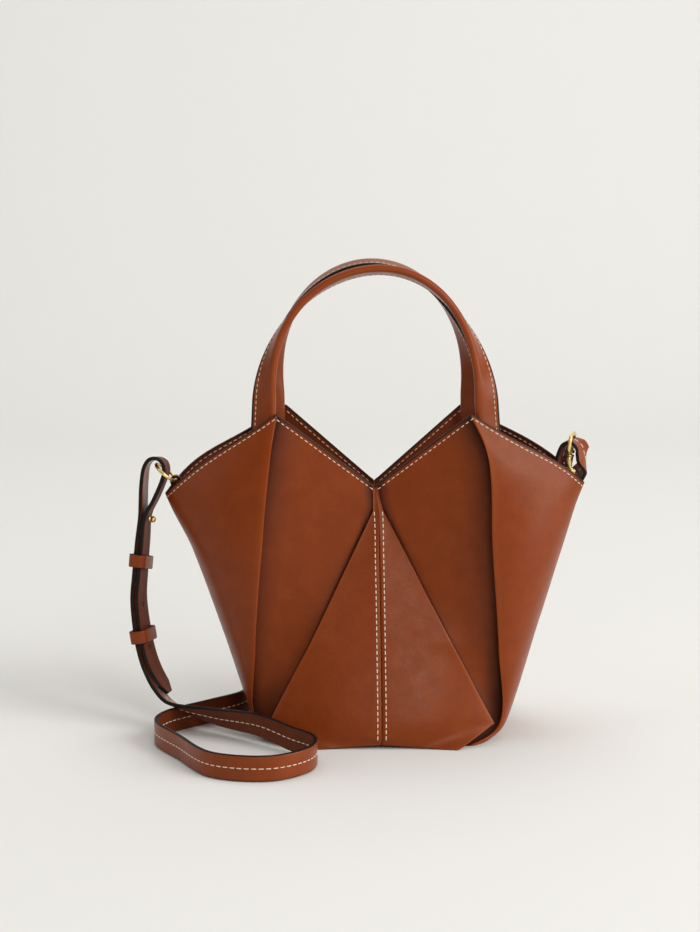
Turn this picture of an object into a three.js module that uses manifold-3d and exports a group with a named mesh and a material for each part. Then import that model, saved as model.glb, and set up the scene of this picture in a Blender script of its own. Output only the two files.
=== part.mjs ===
// Bucket bag of folded leather: a hollow body of two pleated halves on a flat base, two carrying
// handles, and a long strap on brass rings. Millimetres, +Z up; it stands on z = 0 and faces -Y.
import * as THREE from 'three';
import { mergeVertices } from 'three/addons/utils/BufferGeometryUtils.js';
import Module from 'manifold-3d';

const wasm = await Module();
wasm.setup();

// Leather, gaps and the slump of the empty bag
const WALL = 2.2; // body leather
const BASE_THICK = 1.8;
const BASE_CLEAR = { x: 1.5, y: 3.4 }; // room between the base and the hem
const GAP = 0.3; // clearance between neighbouring pieces
const LEAN = -0.0145; // sideways lean, per millimetre of height
const DROOP_LEFT = 6.5; // the strap pulls the left corner of the rim down this far
const BACK_INSET = 4.5; // the back rim peaks stand nearer the centre than the front ones

// Fold lines of a quarter of the body, a row for each fold and a column for each station up the
// wall. Each place is [out from the centre seam, forward of the mid-plane, height].
const FOLDS = {
  //           hem             turn            waist            shoulder         collar           rim
  seam: [[0, 52.5, 2.2], [0, 53.5, 7], [0, 36.5, 60], [0, 23, 108], [0, 15.5, 136], [0, 12, 150]],
  flap: [[45.5, 56, 0], [67.6, 42, 13], [42.5, 36.5, 60], [17.8, 23.5, 108], [3.4, 16, 136], [2, 12, 151]],
  tuck: [[42.5, 51, 0], [61, 37, 11.5], [36, 31, 58], [11.5, 18.8, 106], [1.9, 14.2, 137], [3, 12.3, 151.4]],
  valley: [[52, 46, 0], [70.5, 32.5, 9], [75.5, 28, 57], [72, 29.5, 118], [65, 26, 170], [56.5, 22, 194.3]],
  ridge: [[54, 46.5, 0], [72.2, 34, 9.5], [71.8, 36, 56], [67.4, 38, 118], [63.8, 30, 171], [57.5, 22, 195]],
  side: [[72, 0, 0], [78, 0, 7], [96.5, 0, 60], [113, 0, 112], [121.4, 0, 138.5], [126.3, 0, 150.8]],
};
const STRAIGHT = ['flap', 'tuck']; // folds creased straight from station to station
const LEFT_SHIFT = [-3.5, -4, -3.8, -2.4, 0.8, -0.4]; // the left side line, at each station
const SWAY = [0, 0, 0, 0.9, 2.9, 0]; // the front ridges, towards +X, at each station
const ROWS_PER_SPAN = [2, 4, 4, 3, 2]; // rows of facets between neighbouring stations
const WRAP = [1.8, 2, 1.9, 1.75, 1.7, 1.7]; // roundness of the side panel in plan at each station
// Rise of each side panel's rim above a straight line from peak to corner, and how near the corner
const RIM_BOW = {
  frontLeft: { rise: 3.2, skew: 1.6 },
  frontRight: { rise: 3.3, skew: 2.4 },
  backLeft: { rise: 6, skew: 2.2 },
  backRight: { rise: 4.6, skew: 1.5 },
};
const SLUMP_FROM = 0.6; // share of the height where the rim's own slump begins
const FLAP_STEPS = [0.4, 0.75, 0.93]; // columns of facets across each panel
const QUAD_STEPS = [0.1, 0.3, 0.55, 0.8, 0.94];
const SIDE_STEPS = [0.13, 0.3, 0.48, 0.66, 0.82, 0.94];
const FLAP_BOW = 2.2; // the triangular panel stays flat in the middle and curves near its edge
const QUAD_DIP = 2; // hollow of the front panel beside the ridge
const ROOT_MIN = 0.3; // least share of the side panel that the hem of the ridge covers

// Handles: half an ellipse on two straight legs, twisting from flat against the wall to flat on top
const HANDLE = { foot: 174, rim: 192, spring: 205, footDepth: 16.4, rimDepth: 14 };
const HANDLE_TILT = { leg: 66, spring: 62 }; // slope of the band, in degrees
const HANDLE_ROWS = {
  handle_front: {
    arch: { side: -1, middle: 1.1, halfSpan: 64.1, rise: 74.3, splay: 1.5 },
    crown: { skew: 3.5, depth: 10.5, tilt: -16.8, untwist: 1.5 },
  },
  handle_back: {
    arch: { side: 1, middle: -0.3, halfSpan: 60.2, rise: 76.2, splay: 0 },
    crown: { skew: 0.6, depth: 14.7, tilt: -5.6, untwist: 1.9 },
  },
};
const HANDLE_STEPS = 26;
// Half of the band's section from its folded edge to its raw edge: [across, half thickness]
const HANDLE_SECTION = [[-7.5, 0.9], [-5.7, 2.2], [-1, 1.9], [7.5, 1.5]];

// Strap
const STRAP = { width: 15, thick: 2.2, tipWidth: 7 };
// The strap's middle line. Each row is x, y, z and two angles that aim its width, in degrees: the
// heading in plan, from +X towards +Y, and the lift above level.
const TIP = [-126.6, -6, 22.7, 74, -4];
// Stretch that hangs double below the left ring, from the top down: middle of the two layers
const HANG = [
  // x, y, z, heading, half spacing of the layers
  [-140.1, 0.3, 131, 79, 1.5],
  [-141.9, 0.4, 115, 76, 1.5],
  [-143.7, 0.4, 95, 74, 1.5],
  [-144.7, -0.1, 80.6, 72, 1.5],
  [-143.4, -1, 65, 70, 1.6],
  [-140.9, -2, 50, 69, 1.8],
  [-137.2, -3.5, 38, 70, 2.1],
];
const RING_LOOP = [
  // x, y, z, heading, lift
  [-133.6, 0, 141, 81, 0],
  [-128.7, 0, 152.5, 82, 0],
  [-127.2, 0, 157.8, 82, -1],
  [-128.2, 0, 162.6, 83, -5],
  [-131.9, 0, 165.2, 83, -9],
  [-136, 0, 164.8, 83, -8],
  [-138.9, 0, 161.1, 82, -3],
  [-140.6, 0.1, 151, 80, 0],
];
// Down to the floor in front of the bag, once round, behind the bag and up to the hook
const FLOOR_RUN = [
  // x, y, z, heading, lift
  [-133.8, -6, 26, 78, -4],
  [-125.8, -10.5, 17.5, 82, -12],
  [-101, -22, 12.5, 90, -46],
  [-70, -45.4, 12.6, 90, -74],
  [-52, -60.5, 9, 90, -88],
  [-37.6, -78, 8, 90, -90],
  [-40.6, -102.5, 7.9, 90, -90],
  [-62, -121, 7.9, 90, -90],
  [-94, -114, 7.9, 90, -90],
  [-116, -76, 7.9, 90, -90],
  [-131.8, -42, 7.9, 90, -90],
  [-127.4, -21, 7.9, 90, -90],
  [-102, 7, 7.9, 90, -90],
  [-86, 24, 7.9, 90, -90],
  [-73.5, 47, 7.9, 90, -90],
  [-24, 72, 7.9, -40, -90],
  [34, 77, 8.2, -40, -90],
  [73, 62, 12, -40, -72],
  [86, 47, 38, -40, -20],
  [99, 31.5, 95, -40, 0],
  [112.5, 19, 138, -46, 0],
];
const EYE_LOOP = [
  // x, y, z, heading, lift
  [119.2, 14.6, 150, -56, 0],
  [124.3, 7.8, 159.9, -83, 0],
  [122.9, 0.8, 168, -122, 0],
  [121, -0.6, 173.3, -122, 0],
  [116.9, -0.1, 175.9, -114, 0],
  [112.9, 0.7, 174.3, -112, 0],
  [110.6, 1, 169, -115, 0],
  [109.1, 1.1, 162.6, -115, 0],
];
const ROUTE_STEPS = 2; // strips of facets between neighbouring rows of the route
const STUD_HEIGHT = 129;
const KEEPERS = { keeper_upper: 102.5, keeper_lower: 57.5 }; // heights
const KEEPER = { length: 8, wall: 1.6, slack: 0.8 };

// Rings and their leather tabs, each given by the middle of the wire held in the tab and by its two
// half spans: away from the tab and along Y
const RING_WIRE = 1;
const RING_SIDES = { round: 28, wire: 8 };
const RINGS = {
  left: { held: [-121.4, 151.9], half: [7.6, 9.6], tilt: 40, tabSlope: 0.4 },
  right: { held: [113.1, 146.6], half: [5, 5], tilt: 90, tabSlope: -0.3 },
};
const TAB = { width: 5, thick: 1.6, slack: 0.6, legs: [9, 12] };

// Swivel hook, its claw in the mid-plane of the bag, given upright with heights above the floor. It
// leans about the middle of its claw, and the eye turns on the swivel; angles in degrees.
const HOOK = { x: 113.4, thick: 3, outer: 4.2, inner: 2.2, arcTop: 157, arcBottom: 154.9 };
const HOOK_LEAN = { about: 155.95, angle: 8 };
const EYE_TURN = -13;
const PIVOT = { x: 116.6, z: 156.2, head: 1.3, hole: 0.75, pin: 0.45 };
const GATE = { mouthTop: 157.8, mouthBottom: 153, tip: 153.6, half: 1, thumb: 1.6 };
const CHEEK = { inner: 1.8, outer: 2.6, bottom: 155.1, top: 159.3 };
const SHANK = { radius: 2.35, collar: 2.7, collarBase: 166.9, top: 168.2 };
const SWIVEL = { neck: 1.5, post: 1, head: 1.9, headThick: 0.9 };
const BOSS = { radius: 2.6, bore: 1.35, base: 169, thick: 2.2 };
const EYE = { half: 9.2, height: 10.2, corner: 3.4, wire: 1.1 };

const LEATHER = { color: 0x8a4a2a, roughness: 0.45, metalness: 0 };
const BRASS = { color: 0xc9a04a, roughness: 0.25, metalness: 1 };

// Named mesh with a material of its own
function piece(name, geometry, finish) {
  const mesh = new THREE.Mesh(geometry, new THREE.MeshStandardMaterial(finish));
  mesh.name = name;
  return mesh;
}

function signedVolume(positions, index) {
  const [a, b, c] = [new THREE.Vector3(), new THREE.Vector3(), new THREE.Vector3()];
  let volume = 0;
  for (let i = 0; i < index.length; i += 3) {
    a.fromArray(positions, index[i] * 3);
    b.fromArray(positions, index[i + 1] * 3);
    c.fromArray(positions, index[i + 2] * 3);
    volume += a.dot(b.cross(c)) / 6;
  }
  return volume;
}

// Closed skin through rings of points. Point j of a ring faces point size - 1 - j across the wall,
// so that the two ends close with strips.
function loft(rings, closed = false) {
  const size = rings[0].length;
  const positions = rings.flat().flatMap((point) => point.toArray());
  const index = [];
  const quad = (a, b, c, d) => index.push(a, b, c, a, c, d);
  const spans = closed ? rings.length : rings.length - 1;
  for (let i = 0; i < spans; i += 1) {
    const here = i * size;
    const next = ((i + 1) % rings.length) * size;
    for (let j = 0; j < size; j += 1) {
      const k = (j + 1) % size;
      quad(here + j, here + k, next + k, next + j);
    }
  }
  if (!closed) {
    const last = (rings.length - 1) * size;
    for (let j = 0; j < size / 2 - 1; j += 1) {
      const m = size - 1 - j;
      quad(j, m, m - 1, j + 1);
      quad(last + j, last + j + 1, last + m - 1, last + m);
    }
  }
  if (signedVolume(positions, index) < 0) index.reverse();
  const geometry = new THREE.BufferGeometry();
  geometry.setAttribute('position', new THREE.Float32BufferAttribute(positions, 3));
  geometry.setIndex(index);
  return geometry;
}

// Skin of a section carried along a path; widths aims the section's first axis at each point
function sweep(path, widths, sectionAt, closed = false) {
  const count = path.length;
  const rings = path.map((point, i) => {
    const before = path[closed ? (i + count - 1) % count : Math.max(i - 1, 0)];
    const after = path[closed ? (i + 1) % count : Math.min(i + 1, count - 1)];
    const along = after.clone().sub(before).normalize();
    const normal = along.clone().cross(widths[i]).normalize();
    const across = normal.clone().cross(along);
    return sectionAt(i).map(([a, n]) => point.clone().addScaledVector(across, a).addScaledVector(normal, n));
  });
  return loft(rings, closed);
}

const rectangle = (width, thick) => {
  const [a, n] = [width / 2, thick / 2];
  return [[-a, -n], [a, -n], [a, n], [-a, n]];
};

function toManifold(geometry) {
  const bare = geometry.clone();
  bare.deleteAttribute('normal');
  bare.deleteAttribute('uv');
  const merged = mergeVertices(bare, 1e-4);
  return new wasm.Manifold(new wasm.Mesh({
    numProp: 3,
    vertProperties: Float32Array.from(merged.attributes.position.array),
    triVerts: Uint32Array.from(merged.index.array),
  }));
}

function fromManifold(solid) {
  const mesh = solid.getMesh();
  const geometry = new THREE.BufferGeometry();
  geometry.setAttribute('position', new THREE.Float32BufferAttribute(mesh.vertProperties, 3));
  geometry.setIndex([...mesh.triVerts]);
  return geometry;
}

const fuse = (...geometries) => geometries.map(toManifold).reduce((all, next) => all.add(next));

// Body

const lerp = THREE.MathUtils.lerp;
const mix = (a, b, share) => a.map((value, i) => lerp(value, b[i], share));

const SPANS = ROWS_PER_SPAN.length;
const LEVELS = ROWS_PER_SPAN.flatMap((rows, span) =>
  Array.from({ length: rows }, (_, row) => (span + row / rows) / SPANS)).concat(1);

// Station below a level, and the share of the way to the next one
function stationAt(level) {
  const base = Math.min(Math.floor(level * SPANS), SPANS - 1);
  return [base, level * SPANS - base];
}

function foldLine(fold, places) {
  if (STRAIGHT.includes(fold)) {
    return (level) => {
      const [base, share] = stationAt(level);
      return mix(places[base], places[base + 1], share);
    };
  }
  const curve = new THREE.CatmullRomCurve3(places.map((place) => new THREE.Vector3(...place)));
  return (level) => curve.getPoint(level).toArray();
}

// Fold lines of one quarter, each a function of the level
function foldLines(isBack, hand) {
  const moved = (places, shifts) => places.map(([x, ...rest], i) => [x + shifts[i], ...rest]);
  const folds = { ...FOLDS };
  if (hand < 0) folds.side = moved(FOLDS.side, LEFT_SHIFT);
  if (!isBack) {
    const sway = SWAY.map((shift) => hand * shift);
    folds.valley = moved(FOLDS.valley, sway);
    folds.ridge = moved(FOLDS.ridge, sway);
  }
  return Object.fromEntries(Object.entries(folds).map(([fold, places]) => [fold, foldLine(fold, places)]));
}

// Places of the wall at one level, from the centre seam to the side: outer face, then inner face
function quarterRow(level, isBack, hand) {
  const slump = Math.max(0, (level - SLUMP_FROM) / (1 - SLUMP_FROM));
  const lines = foldLines(isBack, hand);
  const at = Object.fromEntries(Object.entries(lines).map(([fold, line]) => [fold, line(level)]));
  at.seam[0] = GAP / 2;
  if (isBack) {
    at.ridge[0] -= BACK_INSET * slump;
    at.valley[0] -= BACK_INSET * slump;
  }
  if (hand < 0) at.side[2] -= DROOP_LEFT * slump;
  const outer = [at.seam];
  const inner = [[at.seam[0], at.seam[1] - WALL, at.seam[2]]];

  // Triangular panel, and its folded edge pressed flat on the front panel
  const pleat = Math.max(0, at.flap[0] - at.tuck[0]);
  const root = [Math.min(at.flap[0], at.tuck[0]) - 0.45 * pleat, at.flap[1] - WALL, at.flap[2]];
  for (const share of FLAP_STEPS) {
    const bow = share ** FLAP_BOW;
    for (const [row, end] of [[outer, at.flap], [inner, root]]) {
      const [x, , z] = mix(row[0], end, share);
      row.push([x, lerp(row[0][1], end[1], bow), z]);
    }
  }
  outer.push(at.flap, at.tuck);
  inner.push(root, [at.tuck[0] - 0.33 * pleat, at.tuck[1] - WALL, at.tuck[2]]);

  // Front panel, hollowed beside the ridge
  for (const share of QUAD_STEPS) {
    const [x, forward, z] = mix(at.tuck, at.valley, share);
    const dip = QUAD_DIP * share * Math.sin(Math.PI * share) * (1 - slump);
    outer.push([x, forward - dip, z]);
    inner.push([x, forward - dip - WALL, z]);
  }
  const ridgePleat = Math.max(0, at.valley[0] - at.ridge[0]);
  outer.push(at.valley, at.ridge);
  inner.push([at.valley[0] + 0.48 * ridgePleat, at.valley[1] - WALL, at.valley[2]]);

  // Side panel: a superellipse in plan from the ridge round to the side line
  const [base, passed] = stationAt(level);
  const power = lerp(WRAP[base], WRAP[base + 1], passed);
  const { rise, skew } = RIM_BOW[(isBack ? 'back' : 'front') + (hand < 0 ? 'Left' : 'Right')];
  const reach = at.side[0] - at.ridge[0];
  const panel = (share, offset) => {
    const angle = share * Math.PI / 2;
    const fx = Math.sin(angle) ** (2 / power);
    const fy = Math.max(0, Math.cos(angle)) ** (2 / power);
    const normal = new THREE.Vector2(fx ** (power - 1) / reach, fy ** (power - 1) / at.ridge[1]).normalize();
    return [
      at.ridge[0] + reach * fx - offset * normal.x,
      at.ridge[1] * fy - offset * normal.y,
      lerp(at.ridge[2], at.side[2], fx) + rise * slump * Math.sin(Math.PI * fx ** skew),
    ];
  };
  const rootReach = Math.max(0, at.valley[0] + 0.65 * ridgePleat - at.ridge[0]) / reach;
  const rootShare = Math.max(Math.asin(rootReach ** (power / 2)) * 2 / Math.PI, ROOT_MIN * (1 - level) ** 4);
  inner.push(panel(rootShare, WALL));
  for (const share of [...SIDE_STEPS, 1]) {
    outer.push(panel(share, 0));
    inner.push(panel(lerp(rootShare, 1, share), WALL));
  }
  return { outer, inner };
}

const setPlace = ([x, forward, z], hand, face) => new THREE.Vector3(hand * x + LEAN * z, face * forward, z);

// One level of one half of the body, from the front seam round to the back seam
function halfRow(level, hand) {
  const front = quarterRow(level, false, hand);
  const back = quarterRow(level, true, hand);
  const face = (side) => [
    ...front[side].map((place) => setPlace(place, hand, -1)),
    ...back[side].slice(0, -1).reverse().map((place) => setPlace(place, hand, 1)),
  ];
  return { outer: face('outer'), inner: face('inner') };
}

function bodyHalf(name, hand) {
  const rings = LEVELS.map((level) => {
    const { outer, inner } = halfRow(level, hand);
    return [...outer, ...inner.reverse()];
  });
  return piece(name, loft(rings), LEATHER);
}

// The base fills the hem, clear of its inner face all round
function basePanel() {
  const [halfX, halfY] = [FOLDS.side[0][0], FOLDS.seam[0][1]];
  const scale = new THREE.Vector2(1 - BASE_CLEAR.x / halfX, 1 - BASE_CLEAR.y / halfY);
  const right = halfRow(0, 1).inner;
  const left = halfRow(0, -1).inner.reverse();
  const outline = [...right, ...left].map((point) => new THREE.Vector2(point.x, point.y).multiply(scale));
  const plain = { depth: BASE_THICK, bevelEnabled: false };
  return piece('base_panel', new THREE.ExtrudeGeometry(new THREE.Shape(outline), plain), LEATHER);
}

// Handles

function handle(name, { arch, crown }) {
  const { side, middle, halfSpan, rise, splay } = arch;
  const path = [];
  const widths = [];
  const add = (x, depth, z, outward, tilt) => {
    path.push(new THREE.Vector3(middle + x + LEAN * z, side * depth, z));
    const turn = THREE.MathUtils.degToRad(tilt);
    const inward = new THREE.Vector3(0, -side, 0).multiplyScalar(Math.cos(turn));
    widths.push(inward.addScaledVector(outward, Math.sin(turn)));
  };
  const legs = [[HANDLE.foot, HANDLE.footDepth], [HANDLE.rim, HANDLE.rimDepth]];
  const leg = (hand, rows) => rows.forEach(([z, depth]) => {
    const spread = splay * (1 + 3 * (HANDLE.spring - z) / rise);
    add(hand * (halfSpan + spread), depth, z, new THREE.Vector3(hand, 0, 0), HANDLE_TILT.leg);
  });
  leg(-1, legs);
  for (let i = 0; i <= HANDLE_STEPS; i += 1) {
    const angle = Math.PI * (1 - i / HANDLE_STEPS);
    const height = Math.sin(angle);
    const outward = new THREE.Vector3(Math.cos(angle) / halfSpan, 0, height / rise).normalize();
    const tilt = lerp(crown.tilt, HANDLE_TILT.spring, Math.max(0, 1 - height) ** crown.untwist);
    const depth = lerp(HANDLE.rimDepth, crown.depth, height ** 2);
    const spread = splay * Math.sign(Math.cos(angle)) * (1 - height) ** 3;
    const x = halfSpan * Math.cos(angle) + spread + crown.skew * height ** 4;
    add(x, depth, HANDLE.spring + rise * height, outward, tilt);
  }
  leg(1, [...legs].reverse());
  const back = [...HANDLE_SECTION].reverse().map(([across, half]) => [across, -half]);
  const section = [...HANDLE_SECTION, ...back];
  return piece(name, sweep(path, widths, () => section), LEATHER);
}

// Strap and the pieces on it

// Horizontal normal of the strap, towards the bag
const faceNormal = (heading) => {
  const turn = THREE.MathUtils.degToRad(heading);
  return new THREE.Vector3(Math.sin(turn), -Math.cos(turn), 0);
};

function aimWidth(heading, lift) {
  const [turn, rise] = [THREE.MathUtils.degToRad(heading), THREE.MathUtils.degToRad(lift)];
  return new THREE.Vector3(Math.cos(turn) * Math.cos(rise), Math.sin(turn) * Math.cos(rise), Math.sin(rise));
}

// One layer of the hanging stretch, on the bag's side of the middle or on the far side
const hangLayer = (side) => HANG.map(([x, y, z, heading, half]) => {
  const point = new THREE.Vector3(x, y, z).addScaledVector(faceNormal(heading), side * half);
  return [...point.toArray(), heading, 0];
});

function strap() {
  const rows = [TIP, ...hangLayer(1).reverse(), ...RING_LOOP, ...hangLayer(-1), ...FLOOR_RUN, ...EYE_LOOP];
  const curve = new THREE.CatmullRomCurve3(rows.map(([x, y, z]) => new THREE.Vector3(x, y, z)));
  const aims = rows.map(([, , , heading, lift]) => aimWidth(heading, lift));
  const spans = rows.length - 1;
  const path = [];
  const widths = [];
  for (let i = 0; i <= spans * ROUTE_STEPS; i += 1) {
    const station = i / ROUTE_STEPS;
    const base = Math.min(Math.floor(station), spans - 1);
    path.push(curve.getPoint(station / spans));
    widths.push(aims[base].clone().lerp(aims[base + 1], station - base).normalize());
  }
  const section = (i) => rectangle(i === 0 ? STRAP.tipWidth : STRAP.width, STRAP.thick);
  return piece('strap', sweep(path, widths, section), LEATHER);
}

// Middle of the two hanging layers at a height, with their frame and spacing
function hangAt(height) {
  const below = HANG.findIndex((row) => row[2] < height);
  const [low, high] = [HANG[below], HANG[below - 1]];
  const [x, y, , heading, half] = mix(low, high, (height - low[2]) / (high[2] - low[2]));
  const along = new THREE.Vector3(high[0] - low[0], high[1] - low[1], high[2] - low[2]).normalize();
  const normal = aimWidth(heading, 0).cross(along).normalize();
  const across = along.clone().cross(normal);
  return { middle: new THREE.Vector3(x, y, height), along, normal, across, half };
}

function keeper(name, height) {
  const { middle, along, normal, across, half } = hangAt(height);
  const [halfX, halfY] = [half + STRAP.thick / 2 + KEEPER.slack, STRAP.width / 2 + KEEPER.slack];
  const corners = (grow) => [[-1, -1], [1, -1], [1, 1], [-1, 1]].map(([x, y]) =>
    new THREE.Vector2(x * (halfX + grow), y * (halfY + grow)));
  const shape = new THREE.Shape(corners(KEEPER.wall));
  shape.holes.push(new THREE.Path(corners(0)));
  const geometry = new THREE.ExtrudeGeometry(shape, { depth: KEEPER.length, bevelEnabled: false });
  geometry.translate(0, 0, -KEEPER.length / 2);
  const mesh = piece(name, geometry, LEATHER);
  mesh.setRotationFromMatrix(new THREE.Matrix4().makeBasis(normal, across, along));
  mesh.position.copy(middle);
  return mesh;
}

function stud() {
  const profile = [[0, 0], [1.5, 0], [1.1, 0.9], [1.8, 1.6], [2, 2.5], [1.4, 3.7], [0, 4.1]];
  const points = profile.map(([radius, height]) => new THREE.Vector2(radius, height));
  const mesh = piece('strap_stud', new THREE.LatheGeometry(points, 12), BRASS);
  const { middle, normal, half } = hangAt(STUD_HEIGHT);
  mesh.quaternion.setFromUnitVectors(new THREE.Vector3(0, 1, 0), normal);
  mesh.position.copy(middle).addScaledVector(normal, half + STRAP.thick / 2 + GAP);
  return mesh;
}

// Rings and tabs

const wireSection = (radius, sides) => Array.from({ length: sides }, (_, i) => {
  const angle = (i + 0.5) / sides * 2 * Math.PI;
  return [radius * Math.cos(angle), radius * Math.sin(angle)];
});

function ring(name, { held, half, tilt }) {
  const turn = THREE.MathUtils.degToRad(tilt);
  const away = new THREE.Vector3(-Math.cos(turn), 0, Math.sin(turn));
  const middle = new THREE.Vector3(held[0], 0, held[1]).addScaledVector(away, half[0]);
  const path = Array.from({ length: RING_SIDES.round }, (_, i) => {
    const angle = i / RING_SIDES.round * 2 * Math.PI;
    const point = middle.clone().addScaledVector(away, half[0] * Math.cos(angle));
    return point.add(new THREE.Vector3(0, half[1] * Math.sin(angle), 0));
  });
  const widths = path.map(() => new THREE.Vector3(Math.sin(turn), 0, Math.cos(turn)));
  const wire = wireSection(RING_WIRE, RING_SIDES.wire);
  return piece(name, sweep(path, widths, () => wire, true), BRASS);
}

// Strip of leather folded over the ring's wire, with two legs down inside the corner of the mouth
function tab(name, { held, half, tabSlope }) {
  const bow = half[0] * (1 - Math.sqrt(1 - (TAB.width / 2 / half[1]) ** 2));
  const bend = RING_WIRE + bow + TAB.slack + TAB.thick / 2;
  const down = new THREE.Vector3(tabSlope, 0, -1).normalize();
  const out = new THREE.Vector3(-1, 0, -tabSlope).normalize();
  const middle = new THREE.Vector3(held[0], 0, held[1]);
  const path = [middle.clone().addScaledVector(out, bend).addScaledVector(down, TAB.legs[0])];
  const turns = 8;
  for (let i = 0; i <= turns; i += 1) {
    const angle = Math.PI * i / turns;
    const point = middle.clone().addScaledVector(out, bend * Math.cos(angle));
    path.push(point.addScaledVector(down, -bend * Math.sin(angle)));
  }
  path.push(middle.clone().addScaledVector(out, -bend).addScaledVector(down, TAB.legs[1]));
  const widths = path.map(() => new THREE.Vector3(0, 1, 0));
  return piece(name, sweep(path, widths, () => rectangle(TAB.width, TAB.thick)), LEATHER);
}

// Hook

// Flat plate from an outline in the plane of the claw, centred on the mid-plane of the bag
function plate(shape, thick) {
  const geometry = new THREE.ExtrudeGeometry(shape, { depth: thick, bevelEnabled: false, curveSegments: 12 });
  return geometry.rotateX(Math.PI / 2).translate(0, thick / 2, 0);
}

function roundPost(radius, bottom, top) {
  const geometry = new THREE.CylinderGeometry(radius, radius, top - bottom, 16);
  return geometry.rotateX(Math.PI / 2).translate(HOOK.x, 0, (top + bottom) / 2);
}

function box(x0, x1, y0, y1, z0, z1) {
  const geometry = new THREE.BoxGeometry(x1 - x0, y1 - y0, z1 - z0);
  return geometry.translate((x0 + x1) / 2, (y0 + y1) / 2, (z0 + z1) / 2);
}

// The upright hook's shape, leaning
function leaning(geometry) {
  geometry.translate(-HOOK.x, 0, -HOOK_LEAN.about);
  geometry.rotateY(THREE.MathUtils.degToRad(HOOK_LEAN.angle));
  return geometry.translate(HOOK.x, 0, HOOK_LEAN.about);
}

function crossPin(radius, length) {
  return new THREE.CylinderGeometry(radius, radius, length, 12).translate(PIVOT.x, 0, PIVOT.z);
}

function hookBody() {
  const outline = new THREE.Shape();
  outline.absarc(HOOK.x, HOOK.arcTop, HOOK.outer, 0, Math.PI, false);
  outline.absarc(HOOK.x, HOOK.arcBottom, HOOK.outer, Math.PI, 2 * Math.PI, false);
  const hole = new THREE.Path();
  hole.absarc(HOOK.x, HOOK.arcTop, HOOK.inner, 0, Math.PI, false);
  hole.absarc(HOOK.x, HOOK.arcBottom, HOOK.inner, Math.PI, 2 * Math.PI, false);
  outline.holes.push(hole);
  const { outer, thick, x } = HOOK;
  const mouth = box(x + HOOK.inner - 0.4, x + outer + 1, -thick, thick, GATE.mouthBottom, GATE.mouthTop);
  const claw = toManifold(plate(outline, thick)).subtract(toManifold(mouth));
  const [near, far] = [PIVOT.x - PIVOT.head, PIVOT.x + PIVOT.head];
  const bridge = box(near, far, -CHEEK.outer, CHEEK.outer, GATE.mouthTop, CHEEK.top);
  const cheeks = [-1, 1].map((hand) => {
    const [a, b] = [hand * CHEEK.inner, hand * CHEEK.outer];
    return box(near, far, Math.min(a, b), Math.max(a, b), CHEEK.bottom, CHEEK.top);
  });
  const headBase = BOSS.base + BOSS.thick + GAP;
  const stem = fuse(
    roundPost(SHANK.radius, HOOK.arcTop + HOOK.inner + 1, SHANK.top),
    roundPost(SHANK.collar, SHANK.collarBase, SHANK.top),
    roundPost(SWIVEL.neck, SHANK.collarBase, BOSS.base - 2 * GAP),
    roundPost(SWIVEL.post, SHANK.collarBase, headBase),
    roundPost(SWIVEL.head, headBase, headBase + SWIVEL.headThick),
  );
  const pin = crossPin(PIVOT.pin, 2 * CHEEK.outer);
  const solid = claw.add(fuse(bridge, ...cheeks)).add(stem).add(toManifold(pin));
  return piece('hook_body', leaning(fromManifold(solid)), BRASS);
}

// Gate with a thumb piece at its lower end, turning on the pin inwards into the claw
function hookGate() {
  const outline = new THREE.Shape();
  const [near, far] = [PIVOT.x - GATE.half, PIVOT.x + GATE.half];
  outline.moveTo(near, GATE.tip);
  outline.lineTo(far, GATE.tip);
  outline.lineTo(far + GATE.thumb, GATE.tip + 0.5);
  outline.lineTo(far + GATE.thumb, GATE.tip + 1.2);
  outline.lineTo(far, GATE.tip + 1.5);
  const angle = Math.acos(GATE.half / PIVOT.head);
  outline.absarc(PIVOT.x, PIVOT.z, PIVOT.head, -angle, Math.PI + angle, false);
  const hole = new THREE.Path();
  hole.absarc(PIVOT.x, PIVOT.z, PIVOT.hole, 0, 2 * Math.PI, false);
  outline.holes.push(hole);
  return piece('hook_gate', leaning(plate(outline, HOOK.thick)), BRASS);
}

// Eye: a rounded wire loop that the strap runs through, on a boss that turns on the swivel post
function hookEye() {
  const bottom = BOSS.base + BOSS.thick / 2;
  const top = bottom + EYE.height;
  const [across, rise] = [EYE.half - EYE.corner, EYE.height - 2 * EYE.corner];
  const path = [];
  const corners = [[1, 1, 0], [-1, 1, 1], [-1, -1, 2], [1, -1, 3]];
  const arcSteps = 4;
  for (const [hand, up, quarter] of corners) {
    for (let i = 0; i <= arcSteps; i += 1) {
      const angle = (quarter + i / arcSteps) * Math.PI / 2;
      const y = hand * across + EYE.corner * Math.cos(angle);
      const z = (bottom + top) / 2 + up * rise / 2 + EYE.corner * Math.sin(angle);
      path.push(new THREE.Vector3(HOOK.x, y, z));
    }
  }
  const widths = path.map(() => new THREE.Vector3(1, 0, 0));
  const wire = wireSection(EYE.wire, RING_SIDES.wire);
  const loop = sweep(path, widths, () => wire, true);
  const boss = roundPost(BOSS.radius, BOSS.base, BOSS.base + BOSS.thick);
  const bore = roundPost(BOSS.bore, BOSS.base - 1, BOSS.base + BOSS.thick + 1);
  const eye = fromManifold(fuse(loop, boss).subtract(toManifold(bore)));
  eye.translate(-HOOK.x, 0, 0).rotateZ(THREE.MathUtils.degToRad(EYE_TURN)).translate(HOOK.x, 0, 0);
  return piece('hook_eye', leaning(eye), BRASS);
}

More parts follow.
